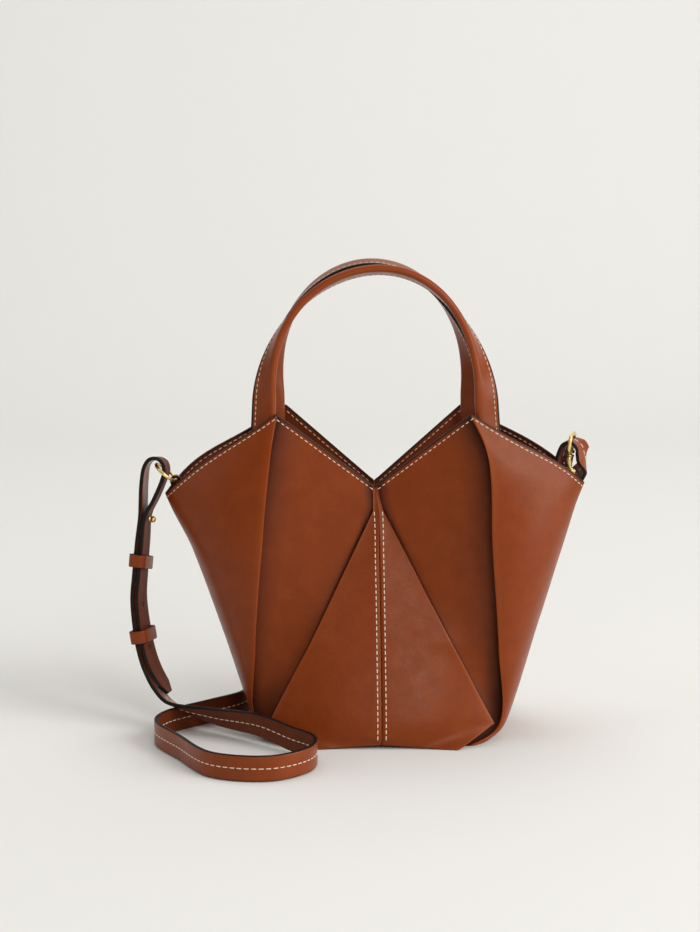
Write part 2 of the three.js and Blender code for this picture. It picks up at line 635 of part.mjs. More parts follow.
const bag = new THREE.Group();
bag.add(bodyHalf('body_left', -1), bodyHalf('body_right', 1), basePanel());
for (const [name, row] of Object.entries(HANDLE_ROWS)) bag.add(handle(name, row));
for (const [hand, row] of Object.entries(RINGS)) bag.add(ring(`ring_${hand}`, row), tab(`tab_${hand}`, row));
bag.add(strap(), stud());
for (const [name, height] of Object.entries(KEEPERS)) bag.add(keeper(name, height));
bag.add(hookBody(), hookGate(), hookEye());

export default bag;
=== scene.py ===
"""Bucket bag of folded tan leather: pleated shell, two handles, long stitched strap, brass hardware.

Sizes are millimetres in the part's own frame and become metres when a mesh is made.
"""
import math

import bpy
import numpy as np
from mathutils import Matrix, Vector, noise


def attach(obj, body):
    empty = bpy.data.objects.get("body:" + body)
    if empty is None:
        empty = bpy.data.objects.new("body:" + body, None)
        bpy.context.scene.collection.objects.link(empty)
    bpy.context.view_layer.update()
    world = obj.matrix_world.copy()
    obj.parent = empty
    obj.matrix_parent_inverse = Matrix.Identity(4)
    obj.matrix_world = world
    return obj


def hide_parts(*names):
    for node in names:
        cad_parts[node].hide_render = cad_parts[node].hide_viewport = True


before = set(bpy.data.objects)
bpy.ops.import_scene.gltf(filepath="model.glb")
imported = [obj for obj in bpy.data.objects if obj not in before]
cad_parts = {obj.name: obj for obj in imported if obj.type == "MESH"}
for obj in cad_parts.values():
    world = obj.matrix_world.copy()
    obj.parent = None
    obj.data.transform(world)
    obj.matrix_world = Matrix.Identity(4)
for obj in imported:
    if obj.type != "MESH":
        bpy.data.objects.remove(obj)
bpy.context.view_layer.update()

MM = 0.001


def add_object(name, data):
    obj = bpy.data.objects.new(name, data)
    bpy.context.collection.objects.link(obj)
    return obj


# Camera

CAMERA = {"place": (-16.8, -1500, 400), "pitch": 9.06, "lens": 97.73, "sensor": 36}


def make_camera():
    data = bpy.data.cameras.new("camera")
    data.sensor_fit = "VERTICAL"
    data.sensor_height = CAMERA["sensor"]
    data.lens = CAMERA["lens"]
    camera = add_object("camera", data)
    camera.location = [value * MM for value in CAMERA["place"]]
    camera.rotation_euler = (math.radians(90 - CAMERA["pitch"]), 0, 0)
    bpy.context.scene.camera = camera


make_camera()

# Materials. A per-point attribute of wear and painted shading runs from 0, painted shade deep in a tuck,
# through PLAIN to 1, where leather is paler from rubbing and painted highlight

PLAIN = 0.5
GRAIN = {"mottle": 90, "streak": 150, "creases": 480, "pores": 1150}  # features per metre
# how much paler than its light tone leather is at rubbed fold edges, partly a painted highlight
RUB_AND_HIGHLIGHT_GAIN = 1.55
# colour that painted shade multiplies the leather's colour with
DARKENING_TINT = (0.13, 0.1, 0.09)
TUCK_ROUGH = 0.5
GLINT = (1, 0.96, 0.86, 1)


def new_material(name):
    material = bpy.data.materials.new(name)
    material.use_nodes = True
    tree = material.node_tree
    shader = tree.nodes["Principled BSDF"]
    place = tree.nodes.new("ShaderNodeTexCoord").outputs["Object"]
    return material, tree, shader, place


def feed(tree, node, inputs):
    """Sets a node's inputs, and links those for which a socket is given."""
    for name, value in inputs.items():
        if isinstance(value, bpy.types.NodeSocket):
            tree.links.new(value, node.inputs[name])
        else:
            node.inputs[name].default_value = value


def add_node(tree, kind, output, inputs):
    node = tree.nodes.new("ShaderNode" + kind)
    feed(tree, node, inputs)
    return node.outputs[output]


def add_noise(tree, place, scale, detail=4, rough=0.55):
    return add_node(tree, "TexNoise", "Fac",
                    {"Vector": place, "Scale": scale, "Detail": detail, "Roughness": rough})


def add_range(tree, value, low, high, to_low, to_high):
    return add_node(tree, "MapRange", "Result", {"Value": value, "From Min": low, "From Max": high,
                                                 "To Min": to_low, "To Max": to_high})


def add_ramp(tree, value, stops):
    node = tree.nodes.new("ShaderNodeValToRGB")
    ramp = node.color_ramp
    while len(ramp.elements) < len(stops):
        ramp.elements.new(0.5)
    for element, (position, colour) in zip(ramp.elements, stops):
        element.position, element.color = position, (*colour, 1)
    tree.links.new(value, node.inputs["Fac"])
    return node.outputs["Color"]


def add_bump(tree, height, strength, distance, **under):
    return add_node(tree, "Bump", "Normal",
                    {"Height": height, "Strength": strength, "Distance": distance, **under})


def add_mix(tree, kind, factor, first, second):
    node = tree.nodes.new("ShaderNodeMix")
    node.data_type = "RGBA"
    node.blend_type = kind
    feed(tree, node, {0: factor, 6: first, 7: (*second, 1)})
    return node.outputs[2]


def add_wear_and_shading(tree):
    node = tree.nodes.new("ShaderNodeAttribute")
    node.attribute_name = "wear_and_shading"
    return node.outputs["Fac"]


def leather(name, deep, mid, light, gloss, shine):
    """Smooth dyed hide: faint mottling and pores, paler along folds from rubbing and painted highlight,
    painted shade inside tucks.
    """
    material, tree, shader, place = new_material(name)
    wear_and_shading = add_wear_and_shading(tree)
    mottle = add_noise(tree, place, GRAIN["mottle"], 6, 0.62)
    colour = add_ramp(tree, mottle, [(0.3, deep), (0.5, mid), (0.72, light)])
    # Fold edges paler, partly from rubbing and partly as a painted highlight
    paler = add_range(tree, wear_and_shading, PLAIN, 1, 0, 0.5)
    colour = add_mix(tree, "MIX", paler, colour, [RUB_AND_HIGHLIGHT_GAIN * value for value in light])
    # Painted shade: the colour is multiplied darker deep in tucks, in the valleys and low in the recess
    # beside the triangle; the strap's underside is darkened the same way
    darkening = add_range(tree, wear_and_shading, 0, PLAIN, 1, 0)
    colour = add_mix(tree, "MULTIPLY", darkening, colour, DARKENING_TINT)
    streak = add_noise(tree, place, GRAIN["streak"], 4, 0.6)
    sheen = add_range(tree, streak, 0.3, 0.7, gloss - 0.05, gloss + 0.06)
    dull = add_range(tree, wear_and_shading, 0, PLAIN, TUCK_ROUGH, 0)
    pores = add_node(tree, "TexVoronoi", "Distance", {"Vector": place, "Scale": GRAIN["pores"]})
    creases = add_noise(tree, place, GRAIN["creases"], 6, 0.65)
    pitted = add_bump(tree, pores, 0.12, 0.0003)
    feed(tree, shader, {"Base Color": colour, "Specular IOR Level": shine, "Specular Tint": GLINT,
                        "Roughness": add_node(tree, "Math", 0, {0: sheen, 1: dull}),
                        "Normal": add_bump(tree, creases, 0.1, 0.0005, Normal=pitted)})
    return material


def toned(name, scale, detail, low, high):
    """Material that varies between two stops of colour."""
    material, tree, shader, place = new_material(name)
    tone = add_noise(tree, place, scale, detail)
    return material, tree, shader, tone, add_ramp(tree, tone, [low, high])


def edge_paint():
    material, tree, shader, blotch, dark = toned("edge_paint", 260, 3, (0.35, (0.007, 0.0045, 0.0045)),
                                                 (0.7, (0.016, 0.01, 0.009)))
    paler = add_range(tree, add_wear_and_shading(tree), 0.6, 1, 0, 0.7)
    feed(tree, shader, {"Base Color": add_mix(tree, "MIX", paler, dark, (0.07, 0.022, 0.015)),
                        "Roughness": add_range(tree, blotch, 0.3, 0.7, 0.4, 0.55),
                        "Normal": add_bump(tree, blotch, 0.15, 0.0003), "Specular IOR Level": 0.14})
    return material


def thread():
    material, tree, shader, fibre, colour = toned("thread", 2600, 3, (0.3, (0.6, 0.48, 0.33)),
                                                  (0.65, (0.86, 0.76, 0.6)))
    feed(tree, shader, {"Base Color": colour, "Normal": add_bump(tree, fibre, 0.4, 0.0002),
                        "Roughness": 0.7, "Sheen Weight": 0.2})
    return material


def brass():
    material, tree, shader, haze, colour = toned("brass_polished", 320, 4, (0.3, (0.74, 0.52, 0.19)),
                                                 (0.7, (0.88, 0.68, 0.3)))
    feed(tree, shader, {"Base Color": colour, "Metallic": 1,
                        "Roughness": add_range(tree, haze, 0.3, 0.7, 0.28, 0.4)})
    return material


# Painted shade: near-black colour that stands for the dark inside of a punched hole
def hole_shade():
    material, tree, shader, _, colour = toned("hole_shade", 900, 3, (0.3, (0.003, 0.002, 0.002)),
                                              (0.7, (0.008, 0.005, 0.004)))
    feed(tree, shader, {"Base Color": colour, "Roughness": 0.9, "Specular IOR Level": 0.05})
    return material


HIDE = leather("hide", (0.184, 0.03, 0.003), (0.2, 0.033, 0.0035), (0.218, 0.0375, 0.0044),
               gloss=0.34, shine=0.21)
BAND_HIDE = leather("band_hide", (0.192, 0.0315, 0.0034), (0.21, 0.0355, 0.004), (0.232, 0.041, 0.005),
                    gloss=0.33, shine=0.25)
LINING = leather("lining", (0.15, 0.027, 0.0065), (0.17, 0.031, 0.0078), (0.19, 0.036, 0.0095),
                 gloss=0.5, shine=0.22)
PAINT = edge_paint()
THREAD = thread()
BRASS = brass()
HOLE_SHADE = hole_shade()

# Meshes

LEATHER_SHARP, BRASS_SHARP = 50, 40  # degrees from which an edge is drawn sharp
TURNED_SIDES, SMALL_SIDES = 32, 20


def make_object(name, points, faces, materials, slot, node=None, face_slots=None, wear_and_shading=None, sharp=None):
    """Piece of the bag from points and quads, turned outwards; it may stand for a node."""
    points = np.asarray(points, float).reshape(-1, 3)
    a, b, c, d = (points[faces[:, i]] for i in range(4))
    if (a * (np.cross(b, c) + np.cross(c, d))).sum() < 0:
        faces = faces[:, ::-1]
    mesh = bpy.data.meshes.new(name)
    mesh.from_pydata((points * MM).tolist(), [], faces.tolist())
    for material in materials:
        mesh.materials.append(material)
    if face_slots is not None:
        mesh.polygons.foreach_set("material_index", np.asarray(face_slots, np.int32))
    # Per-point wear and painted shading, read by the leather and edge-paint shaders
    layer = mesh.attributes.new("wear_and_shading", "FLOAT", "POINT")
    wear_and_shading = np.full(len(points), PLAIN) if wear_and_shading is None else wear_and_shading
    layer.data.foreach_set("value", np.asarray(wear_and_shading, np.float32).ravel())
    mesh.polygons.foreach_set("use_smooth", [True] * len(mesh.polygons))
    if sharp:
        mesh.set_sharp_from_angle(angle=math.radians(sharp))
    mesh.update()
    piece = add_object(name, mesh)
    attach(piece, "bag")
    if node:
        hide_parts(node)
    return piece


def ring_faces(rows, size, closed_rows=False):
    """Quads of a skin through rows of closed rings; strips close its two ends."""
    faces = []
    j = np.arange(size)
    k = (j + 1) % size
    spans = rows if closed_rows else rows - 1
    for i in range(spans):
        here, after = i * size, ((i + 1) % rows) * size
        faces.append(np.stack([here + j, here + k, after + k, after + j], 1))
    if not closed_rows:
        j = np.arange(size // 2 - 1)
        m = size - 1 - j
        last = (rows - 1) * size
        faces.append(np.stack([j, m, m - 1, j + 1], 1))
        faces.append(np.stack([last + j, last + j + 1, last + m - 1, last + m], 1))
    return np.concatenate(faces)


def unit(vectors):
    vectors = np.asarray(vectors, float)
    return vectors / np.maximum(np.linalg.norm(vectors, axis=-1, keepdims=True), 1e-9)


def mix(a, b, share):
    return a + (b - a) * share


def spline(points, stations):
    """Centripetal Catmull-Rom curve through points, sampled at fractional point numbers."""
    padded = np.vstack([2 * points[0] - points[1], points, 2 * points[-1] - points[-2]])
    base = np.clip(np.floor(stations).astype(int), 0, len(points) - 2)
    share = (stations - base)[:, None]
    p0, p1, p2, p3 = (padded[base + i] for i in range(4))
    d0, d1, d2 = (np.sqrt(np.linalg.norm(b - a, axis=1, keepdims=True)).clip(1e-4)
                  for a, b in ((p0, p1), (p1, p2), (p2, p3)))
    t1 = ((p1 - p0) / d0 - (p2 - p0) / (d0 + d1) + (p2 - p1) / d1) * d1
    t2 = ((p2 - p1) / d1 - (p3 - p1) / (d1 + d2) + (p3 - p2) / d2) * d1
    c2 = 3 * (p2 - p1) - 2 * t1 - t2
    c3 = 2 * (p1 - p2) + t1 + t2
    return p1 + share * (t1 + share * (c2 + share * c3))


def path_frames(path, widths, closed=False):
    if closed:
        along = unit(np.roll(path, -1, 0) - np.roll(path, 1, 0))
    else:
        along = unit(np.gradient(path, axis=0))
    normal = unit(np.cross(along, widths))
    return along, np.cross(normal, along), normal


def sweep(path, widths, section, closed=False, scales=None):
    _, across, normal = path_frames(path, widths, closed)
    wide = np.broadcast_to(section[:, 0], (len(path), len(section)))
    if scales is not None:
        wide = wide * scales[:, None]
    return (np.asarray(path)[:, None] + across[:, None] * wide[..., None]
            + normal[:, None] * section[None, :, 1:2])


def reach_along(path):
    return np.concatenate([[0], np.cumsum(np.linalg.norm(np.diff(path, axis=0), axis=1))])


def along_line(path, pitch, margin):
    """Fractional point numbers at an even pitch along a polyline, clear of its ends."""
    reach = reach_along(path)
    count = max(int((reach[-1] - margin - margin) / pitch), 1)
    first = margin + (reach[-1] - margin - margin - (count - 1) * pitch) / 2
    return np.interp(first + np.arange(count) * pitch, reach, np.arange(len(path)))


def pick(values, stations):
    base = np.clip(np.floor(stations).astype(int), 0, len(values) - 2)
    share = (stations - base)[:, None]
    return values[base] * (1 - share) + values[base + 1] * share


def lathe(foot, axis, profile, sides):
    """Skin of a profile of [radius, height] turned about an axis: points and quads."""
    axis = unit(axis)
    first = unit(np.cross(axis, (0, 0, 1) if abs(axis[2]) < 0.9 else (1, 0, 0)))
    second = np.cross(axis, first)
    angle = np.arange(sides) / sides * 2 * math.pi
    spoke = first * np.cos(angle)[:, None] + second * np.sin(angle)[:, None]
    rings = [foot + axis * height + spoke * radius for radius, height in profile]
    return np.concatenate(rings), ring_faces(len(profile), sides)


def join_skins(skins):
    points, faces, count = [], [], 0
    for skin, quads in skins:
        skin = skin.reshape(-1, 3)
        points.append(skin)
        faces.append(quads + count)
        count += len(skin)
    return np.concatenate(points), np.concatenate(faces)


def circle(radius, sides):
    angle = (np.arange(sides) + 0.5) / sides * 2 * math.pi
    return np.stack([radius * np.cos(angle), radius * np.sin(angle)], 1)


STITCH_SIDES = 6
# A stitch from end to end: share of the half length, then width and sink in radii
STITCH_PROFILE = [[-1, 0.35, 1.1], [-0.86, 0.8, 0.45], [-0.45, 1, 0.05],
                  [0.45, 1, 0.05], [0.86, 0.8, 0.45], [1, 0.35, 1.1]]


def stitch_rows(name, slot, rows, stitch):
    """Joined mesh of stitches; rows are (places, directions, face normals)."""
    length, radius = stitch["length"], stitch["radius"]
    places, along, normal = (np.concatenate(part) for part in zip(*rows))
    along, normal = unit(along), unit(normal)
    side = unit(np.cross(along, normal))
    angle = (np.arange(STITCH_SIDES) / STITCH_SIDES * 2 * math.pi)[None, :, None]
    offset = side[:, None] * np.cos(angle) + normal[:, None] * np.sin(angle)
    rings = []
    for reach, width, sink in STITCH_PROFILE:
        centre = places + along * reach * length / 2 - normal * sink * radius
        rings.append(centre[:, None] + offset * width * radius)
    points = np.stack(rings, 1)
    one = ring_faces(len(STITCH_PROFILE), STITCH_SIDES)
    size = len(STITCH_PROFILE) * STITCH_SIDES
    faces = (one[None] + (np.arange(len(places)) * size)[:, None, None]).reshape(-1, 4)
    return make_object(name, points, faces, [THREAD], slot)


def band_stitches(name, path, widths, stitch):
    along, across, normal = path_frames(path, widths)
    line = path + across * stitch["across"]
    marks = along_line(line, stitch["pitch"], stitch["ends"])
    rows = []
    for way in (1, -1):
        face = pick(normal, marks) * way
        rows.append((pick(line, marks) + face * stitch["half"], pick(along, marks), face))
    return stitch_rows(name, "band_leather", rows, stitch)


# Strap

STRAP = {"width": 15, "thick": 2.2, "tip": 7}
STRAP_TIP = [-126.6, -6, 22.7, 74, -4]
# Middle of the two layers that hang below the left ring: x, y, z, heading, half spacing
STRAP_HANG = [
    [-140.1, 0.3, 131, 79, 1.5], [-141.9, 0.4, 115, 76, 1.5], [-143.7, 0.4, 95, 74, 1.5],
    [-144.7, -0.1, 80.6, 72, 1.5], [-143.4, -1, 65, 70, 1.6], [-140.9, -2, 50, 69, 1.8],
    [-137.2, -3.5, 38, 70, 2.1],
]
# The strap's middle line elsewhere: x, y, z, then the heading and the lift of its width
RING_LOOP = [
    [-133.6, 0, 141, 81, 0], [-128.7, 0, 152.5, 82, 0], [-127.2, 0, 157.8, 82, -1],
    [-128.2, 0, 162.6, 83, -5], [-131.9, 0, 165.2, 83, -9], [-136, 0, 164.8, 83, -8],
    [-138.9, 0, 161.1, 82, -3], [-140.6, 0.1, 151, 80, 0],
]
FLOOR_RUN = [
    [-133.8, -6, 26, 78, -4], [-125.8, -10.5, 17.5, 82, -12], [-101, -22, 12.5, 90, -46],
    [-70, -45.4, 12.6, 90, -74], [-52, -60.5, 9, 90, -88], [-37.6, -78, 8, 90, -90],
    [-40.6, -102.5, 7.9, 90, -90], [-62, -121, 7.9, 90, -90], [-94, -114, 7.9, 90, -90],
    [-116, -76, 7.9, 90, -90], [-131.8, -42, 7.9, 90, -90], [-127.4, -21, 7.9, 90, -90],
    [-102, 7, 7.9, 90, -90], [-86, 24, 7.9, 90, -90], [-73.5, 47, 7.9, 90, -90],
    [-24, 72, 7.9, -40, -90], [34, 77, 8.2, -40, -90], [73, 62, 12, -40, -72],
    [86, 47, 38, -40, -20], [99, 31.5, 95, -40, 0], [112.5, 19, 138, -46, 0],
]
EYE_LOOP = [
    [119.2, 14.6, 150, -56, 0], [124.3, 7.8, 159.9, -83, 0], [122.9, 0.8, 168, -122, 0],
    [121, -0.6, 173.3, -122, 0], [116.9, -0.1, 175.9, -114, 0], [112.9, 0.7, 174.3, -112, 0],
    [110.6, 1, 169, -115, 0], [109.1, 1.1, 162.6, -115, 0],
]
STRAP_STEPS = 12
# Value given to the strap's underside, below PLAIN so that its colour is drawn darker
STRAP_UNDER_DARKENING = 0.25
TIP_POINTS = 4  # points of the route over which it narrows
STRAP_STITCH = {"pitch": 4.1, "length": 3.2, "radius": 0.3, "across": 0, "half": 1.15, "ends": 3}
STUD_HEIGHT = 129
HOLE = {"pitch": 26.5, "count": 3, "radius": 1.3}  # punched holes below the stud
# A hole from its bottom over its pressed lip: share of the radius, height
HOLE_PROFILE = [[0.02, -0.25], [0.55, -0.25], [0.72, 0.02], [0.9, 0.12], [1.05, 0.1], [1.2, -0.3],
                [0.02, -0.4]]
# Half of the strap's section, from one painted edge to the other: across, half thickness
STRAP_FACE = [[-7, 1.1], [-6, 1.14], [-3.5, 1.16], [-1, 1.12], [0, 1.06],
              [1, 1.12], [3.5, 1.16], [6, 1.14], [7, 1.1]]
STRAP_EDGE = [[7.32, 0.92], [7.5, 0.45], [7.44, 0], [7.5, -0.45], [7.32, -0.92]]


def aim(heading, lift):
    turn, rise = np.radians(heading), np.radians(lift)
    return np.stack([np.cos(turn) * np.cos(rise), np.sin(turn) * np.cos(rise), np.sin(rise)], -1)


def hang_layer(side):
    rows = []
    for x, y, z, heading, half in STRAP_HANG:
        turn = math.radians(heading)
        rows.append([x + side * half * math.sin(turn), y - side * half * math.cos(turn), z, heading, 0])
    return rows


def hang_at(height):
    """Middle of the hanging layers at a height: place, direction, normal, width axis, half spacing."""
    rows = np.array(STRAP_HANG)
    below = int(np.argmax(rows[:, 2] < height))
    low, high = rows[below], rows[below - 1]
    x, y, _, heading, half = low + (high - low) * (height - low[2]) / (high[2] - low[2])
    along = unit(high[:3] - low[:3])
    normal = unit(np.cross(aim(heading, 0), along))
    return np.array([x, y, height]), along, normal, np.cross(along, normal), half


def strap_route(steps):
    ends = [STRAP_TIP, *hang_layer(1)[::-1], *RING_LOOP, *hang_layer(-1)]
    rows = np.array([*ends, *FLOOR_RUN, *EYE_LOOP])
    stations = np.linspace(0, len(rows) - 1, (len(rows) - 1) * steps + 1)
    aims = aim(rows[:, 3], rows[:, 4])
    return spline(rows[:, :3], stations), unit(pick(aims, stations))


UNDERSIDE = -0.95  # points of a section below this are on its underside


def band_section(face, edge, under=PLAIN):
    """Closed section from a half face and a painted edge: points, painted sides, and values of wear and
    painted shading.
    """
    half = [*face, *edge]
    section = np.array([*half, *([-a, -n] for a, n in half)])
    painted = np.tile(np.arange(len(half)) >= len(face) - 1, 2)
    wear_and_shading = np.where(section[:, 1] < UNDERSIDE, under, PLAIN)
    return [np.roll(values, -len(face) - len(edge) // 2, 0) for values in (section, painted, wear_and_shading)]


def make_band(name, node, path, widths, section, painted, wear_and_shading, closed=False, scales=None):
    rings = sweep(path, widths, section, closed, scales)
    faces = ring_faces(len(path), len(section), closed)
    spans = len(path) if closed else len(path) - 1
    slots = np.ones(len(faces), int)
    slots[:spans * len(section)] = np.tile(painted, spans)
    return make_object(name, rings, faces, [BAND_HIDE, PAINT], "band_leather", node, slots,
                       np.tile(wear_and_shading, (len(path), 1)), sharp=LEATHER_SHARP)


strap_path, strap_widths = strap_route(STRAP_STEPS)
strap_scales = np.ones(len(strap_path))
strap_scales[:TIP_POINTS] = np.linspace(STRAP["tip"] / STRAP["width"], 1, TIP_POINTS + 1)[:-1]
strap = make_band("strap_band", "strap", strap_path, strap_widths,
                  *band_section(STRAP_FACE, STRAP_EDGE, STRAP_UNDER_DARKENING), scales=strap_scales)
# Point of the route where its stitched layer begins
sewn_from = (1 + len(STRAP_HANG) + len(RING_LOOP)) * STRAP_STEPS


def strap_holes():
    """Punched holes on the layer that the stud closes, each drawn as a shallow cup coloured with painted
    shade.
    """
    layer = np.array([row[:3] for row in hang_layer(1)])
    line = spline(layer, np.linspace(0, len(layer) - 1, 200))
    reach = reach_along(line)
    start = np.interp(-STUD_HEIGHT, -line[:, 2], reach)
    outline = [(share * HOLE["radius"], height) for share, height in HOLE_PROFILE]
    skins = []
    for count in range(1, HOLE["count"] + 1):
        station = np.interp([start + count * HOLE["pitch"]], reach, np.arange(len(line)))
        place = pick(line, station)[0]
        normal = hang_at(place[2])[2]
        skins.append(lathe(place + normal * STRAP["thick"] / 2, normal, outline, SMALL_SIDES))
    return make_object("strap_holes", *join_skins(skins), [HOLE_SHADE], "band_leather")


strap_thread = band_stitches("strap_stitches", strap_path[sewn_from:], strap_widths[sewn_from:],
                             STRAP_STITCH)
strap_punched = strap_holes()

KEEPERS = {"keeper_upper": (102.5, -0.18), "keeper_lower": (57.5, 0)}  # height, rise across
KEEPER = {"wall": 1.6, "slack": 0.8, "corner": 2.6, "bulge": 0.5}
KEEPER_FACE = [[-3.7, 0.78], [-3, 0.84], [-1, 0.88], [1, 0.88], [3, 0.84], [3.7, 0.78]]
KEEPER_EDGE = [[3.92, 0.6], [4, 0.25], [4, -0.25], [3.92, -0.6]]
STUD_CLEAR = 0.2
STUD_PROFILE = [[0.02, 0], [1.35, 0], [1.5, 0.12], [1.42, 0.35], [1.15, 0.6], [1.1, 0.9],
                [1.35, 1.15], [1.75, 1.55], [1.97, 2.05], [2, 2.5], [1.85, 3.05], [1.5, 3.6],
                [1.05, 3.93], [0.8, 4.02], [0.62, 3.98], [0.5, 3.75], [0.02, 3.7]]


def rounded_loop(half_u, half_v, corner, steps=7, straight=6):
    places = []
    for quarter_turn, (u, v) in enumerate(((1, 1), (-1, 1), (-1, -1), (1, -1))):
        centre = np.array([u * (half_u - corner), v * (half_v - corner)])
        angle = (quarter_turn + np.linspace(0, 1, steps)) * math.pi / 2
        places.append(centre + corner * np.stack([np.cos(angle), np.sin(angle)], 1))
    loop = []
    for part, after in zip(places, places[1:] + places[:1]):
        loop.append(part)
        loop.append(mix(part[-1], after[0], np.linspace(0, 1, straight + 2)[1:-1, None]))
    return np.concatenate(loop)


def make_keeper(node, height, rise):
    middle, along, normal, across, half = hang_at(height)
    half_u = half + STRAP["thick"] / 2 + KEEPER["slack"] + KEEPER["wall"] / 2
    half_v = STRAP["width"] / 2 + KEEPER["slack"] + KEEPER["wall"] / 2
    loop = rounded_loop(half_u, half_v, KEEPER["corner"])
    swell = KEEPER["bulge"] * np.clip(1 - (loop[:, 1] / half_v) ** 2, 0, 1)
    loop[:, 0] += np.sign(loop[:, 0]) * swell
    path = middle + normal * loop[:, :1] + (across + along * rise) * loop[:, 1:]
    section = band_section(KEEPER_FACE, KEEPER_EDGE)
    return make_band("band_" + node, node, path, along, *section, closed=True)


def make_stud():
    middle, _, normal, _, half = hang_at(STUD_HEIGHT)
    foot = middle + normal * (half + STRAP["thick"] / 2 + STUD_CLEAR)
    skin = lathe(foot, normal, STUD_PROFILE, TURNED_SIDES)
    return make_object("stud", *skin, [BRASS], "brass", "strap_stud", sharp=45)


on_strap = [strap_thread, strap_punched, make_stud()]
on_strap += [make_keeper(node, *row) for node, row in KEEPERS.items()]

# Shell

WALL = 2.2
SEAM_HALF = 0.02
LEAN = -0.0145  # of the whole body to the left, per millimetre of height
DROOP_LEFT = 6.5  # how much lower the mouth's left corner is
BACK_INSET = 4.5  # how much nearer the seam the back's peaks are
# Fold lines of a quarter of the body at hem, turn, waist, shoulder, collar and rim:
# out from the seam, forward of the mid-plane, height
FOLDS = {
    "seam": [[0, 52.5, 2.2], [0, 53.5, 7], [0, 36.5, 60],
             [0, 23, 108], [0, 15.5, 136], [0, 12, 150]],
    "flap": [[45.5, 56, 0], [67.6, 42, 13], [42.5, 36.5, 60],
             [17.8, 23.5, 108], [3.2, 16, 136], [0.9, 12, 151]],
    "tuck": [[42.5, 51, 0], [61, 37, 11.5], [36, 31, 58],
             [11.5, 18.8, 106], [1.8, 14.2, 137], [1.7, 12.3, 151.4]],
    "valley": [[52, 46, 0], [70.5, 32.5, 9], [75.5, 28, 57],
               [72, 29.5, 118], [65, 26, 170], [56.5, 22, 194.3]],
    "ridge": [[54, 46.5, 0], [72.2, 34, 9.5], [71.8, 36, 56],
              [67.4, 38, 118], [63.8, 30, 171], [57.5, 22, 195]],
    "side": [[72, 0, 0], [78, 0, 7], [96.5, 0, 60],
             [113, 0, 112], [121.4, 0, 138.5], [126.3, 0, 150.8]],
}
STRAIGHT = ("flap", "tuck")
LEFT_SHIFT = [-3.5, -4, -3.8, -2.4, 0.8, -0.4]  # of the left side, outwards
# The front's folds hang a little to the right
SWAY = {"seam": [1.8, 2.1, 2.4, 2.3, 2, 0], "valley": [0, 0, 0, 0.9, 2.9, 0]}
SWAY.update(flap=SWAY["seam"], tuck=SWAY["seam"], ridge=SWAY["valley"])
WRAP = [1.8, 2, 1.9, 1.75, 1.7, 1.7]  # power of the side panels' curve, 2 for an ellipse
# Rise of the rim between peak and corner and how near the corner it is, by back and hand
RIM_BOW = {(False, -1): (3.2, 1.6), (False, 1): (3.3, 2.4), (True, -1): (6, 2.2), (True, 1): (4.6, 1.5)}
SLUMP_FROM = 0.6  # level above which the mouth's own shape sets in
FLAP_BOW = 2.2  # power of the triangle's bow across
QUAD_DIP = 2  # how far the panel between triangle and ridge sinks in
SEAM_RISE = [0, 0.6, 2.2, 1.8, 0.8, 0]  # how far the seam stands out of the flat triangle
# Painted shade in the recesses: widths beside the triangle and in the valley, and the height below which
# the recess darkens
TUCK_SHADE = 2.2  # width of the dark line beside the triangle
VALLEY_SHADE = {-1: 6, 1: 11}  # width of the dark valley beside the ridge, by hand
LOW_SHADE = {"below": 40, "least": 0.2}  # height below which the recess beside the triangle darkens
# Where the inner face folds, as shares of the outer face's pleat
INNER_PLEAT = {"root": 0.45, "tuck": 0.33, "valley": 0.48, "ridge": 0.65}
ROOT_MIN = 0.3  # least way of the inner ridge round the side at the hem
SPANS = len(WRAP) - 1
# Columns of the shell across each panel, closest beside the folds
FLAP_COLUMNS = [0, 0.01, 0.025, 0.05, 0.1, 0.17, 0.25, 0.34, 0.43, 0.52, 0.6, 0.68, 0.75, 0.81,
                0.86, 0.9, 0.935, 0.96, 0.98, 1]
TURN_COLUMNS = [0.12, 0.3, 0.5, 0.7, 0.88, 1]
QUAD_COLUMNS = [0.02, 0.05, 0.085, 0.105, 0.125, 0.145, 0.165, 0.185, 0.205, 0.23, 0.26, 0.3,
                0.36, 0.43, 0.52, 0.61, 0.7, 0.78, 0.85, 0.9, 0.94, 0.97, 0.99, 1]
RIDGE_COLUMNS = [0.15, 0.35, 0.55, 0.75, 0.9, 1]
SIDE_COLUMNS = [0.015, 0.035, 0.06, 0.1, 0.15, 0.2, 0.26, 0.32, 0.38, 0.44, 0.5, 0.56, 0.62, 0.68,
                0.74, 0.8, 0.85, 0.9, 0.94, 0.97, 1]
ROWS_PER_SPAN = [14, 26, 26, 18, 8]
RIM_LEVELS = 30  # levels near the rim from which its rows are spaced
RIM_FROM = 0.9  # level above which rows keep a set distance from the rim
RIM_STEPS = [5, 3.8, 2.6, 1.6, 1.1, 0.9, 0.45, 0]  # those distances
PAINTED_STEPS = 2  # how many of the last steps are painted
SEAM_TURN = [0.95, 0.4, 0.08]  # how deep the first columns turn into the seam
# Rounded hem and rim: share of the way across the wall, height
HEM_ROUND = [[0.25, 0], [0.07, 0.3]]
RIM_ROUND = [[0.06, 0.2], [0.16, 0.38], [0.3, 0.42], [0.42, 0.32], [0.49, 0.2]]
SHELL_DRAPE = 0.3  # soft unevenness of the hide
DRAPE_WAVES = [[1, 0.022], [0.3, 0.05]]  # strength, waves per millimetre
# Where it fades: height above the hem, rows below the rim and over how many, seam columns
DRAPE_FADE = {"hem": 25, "rim": 10, "over": 12, "seam": 4}


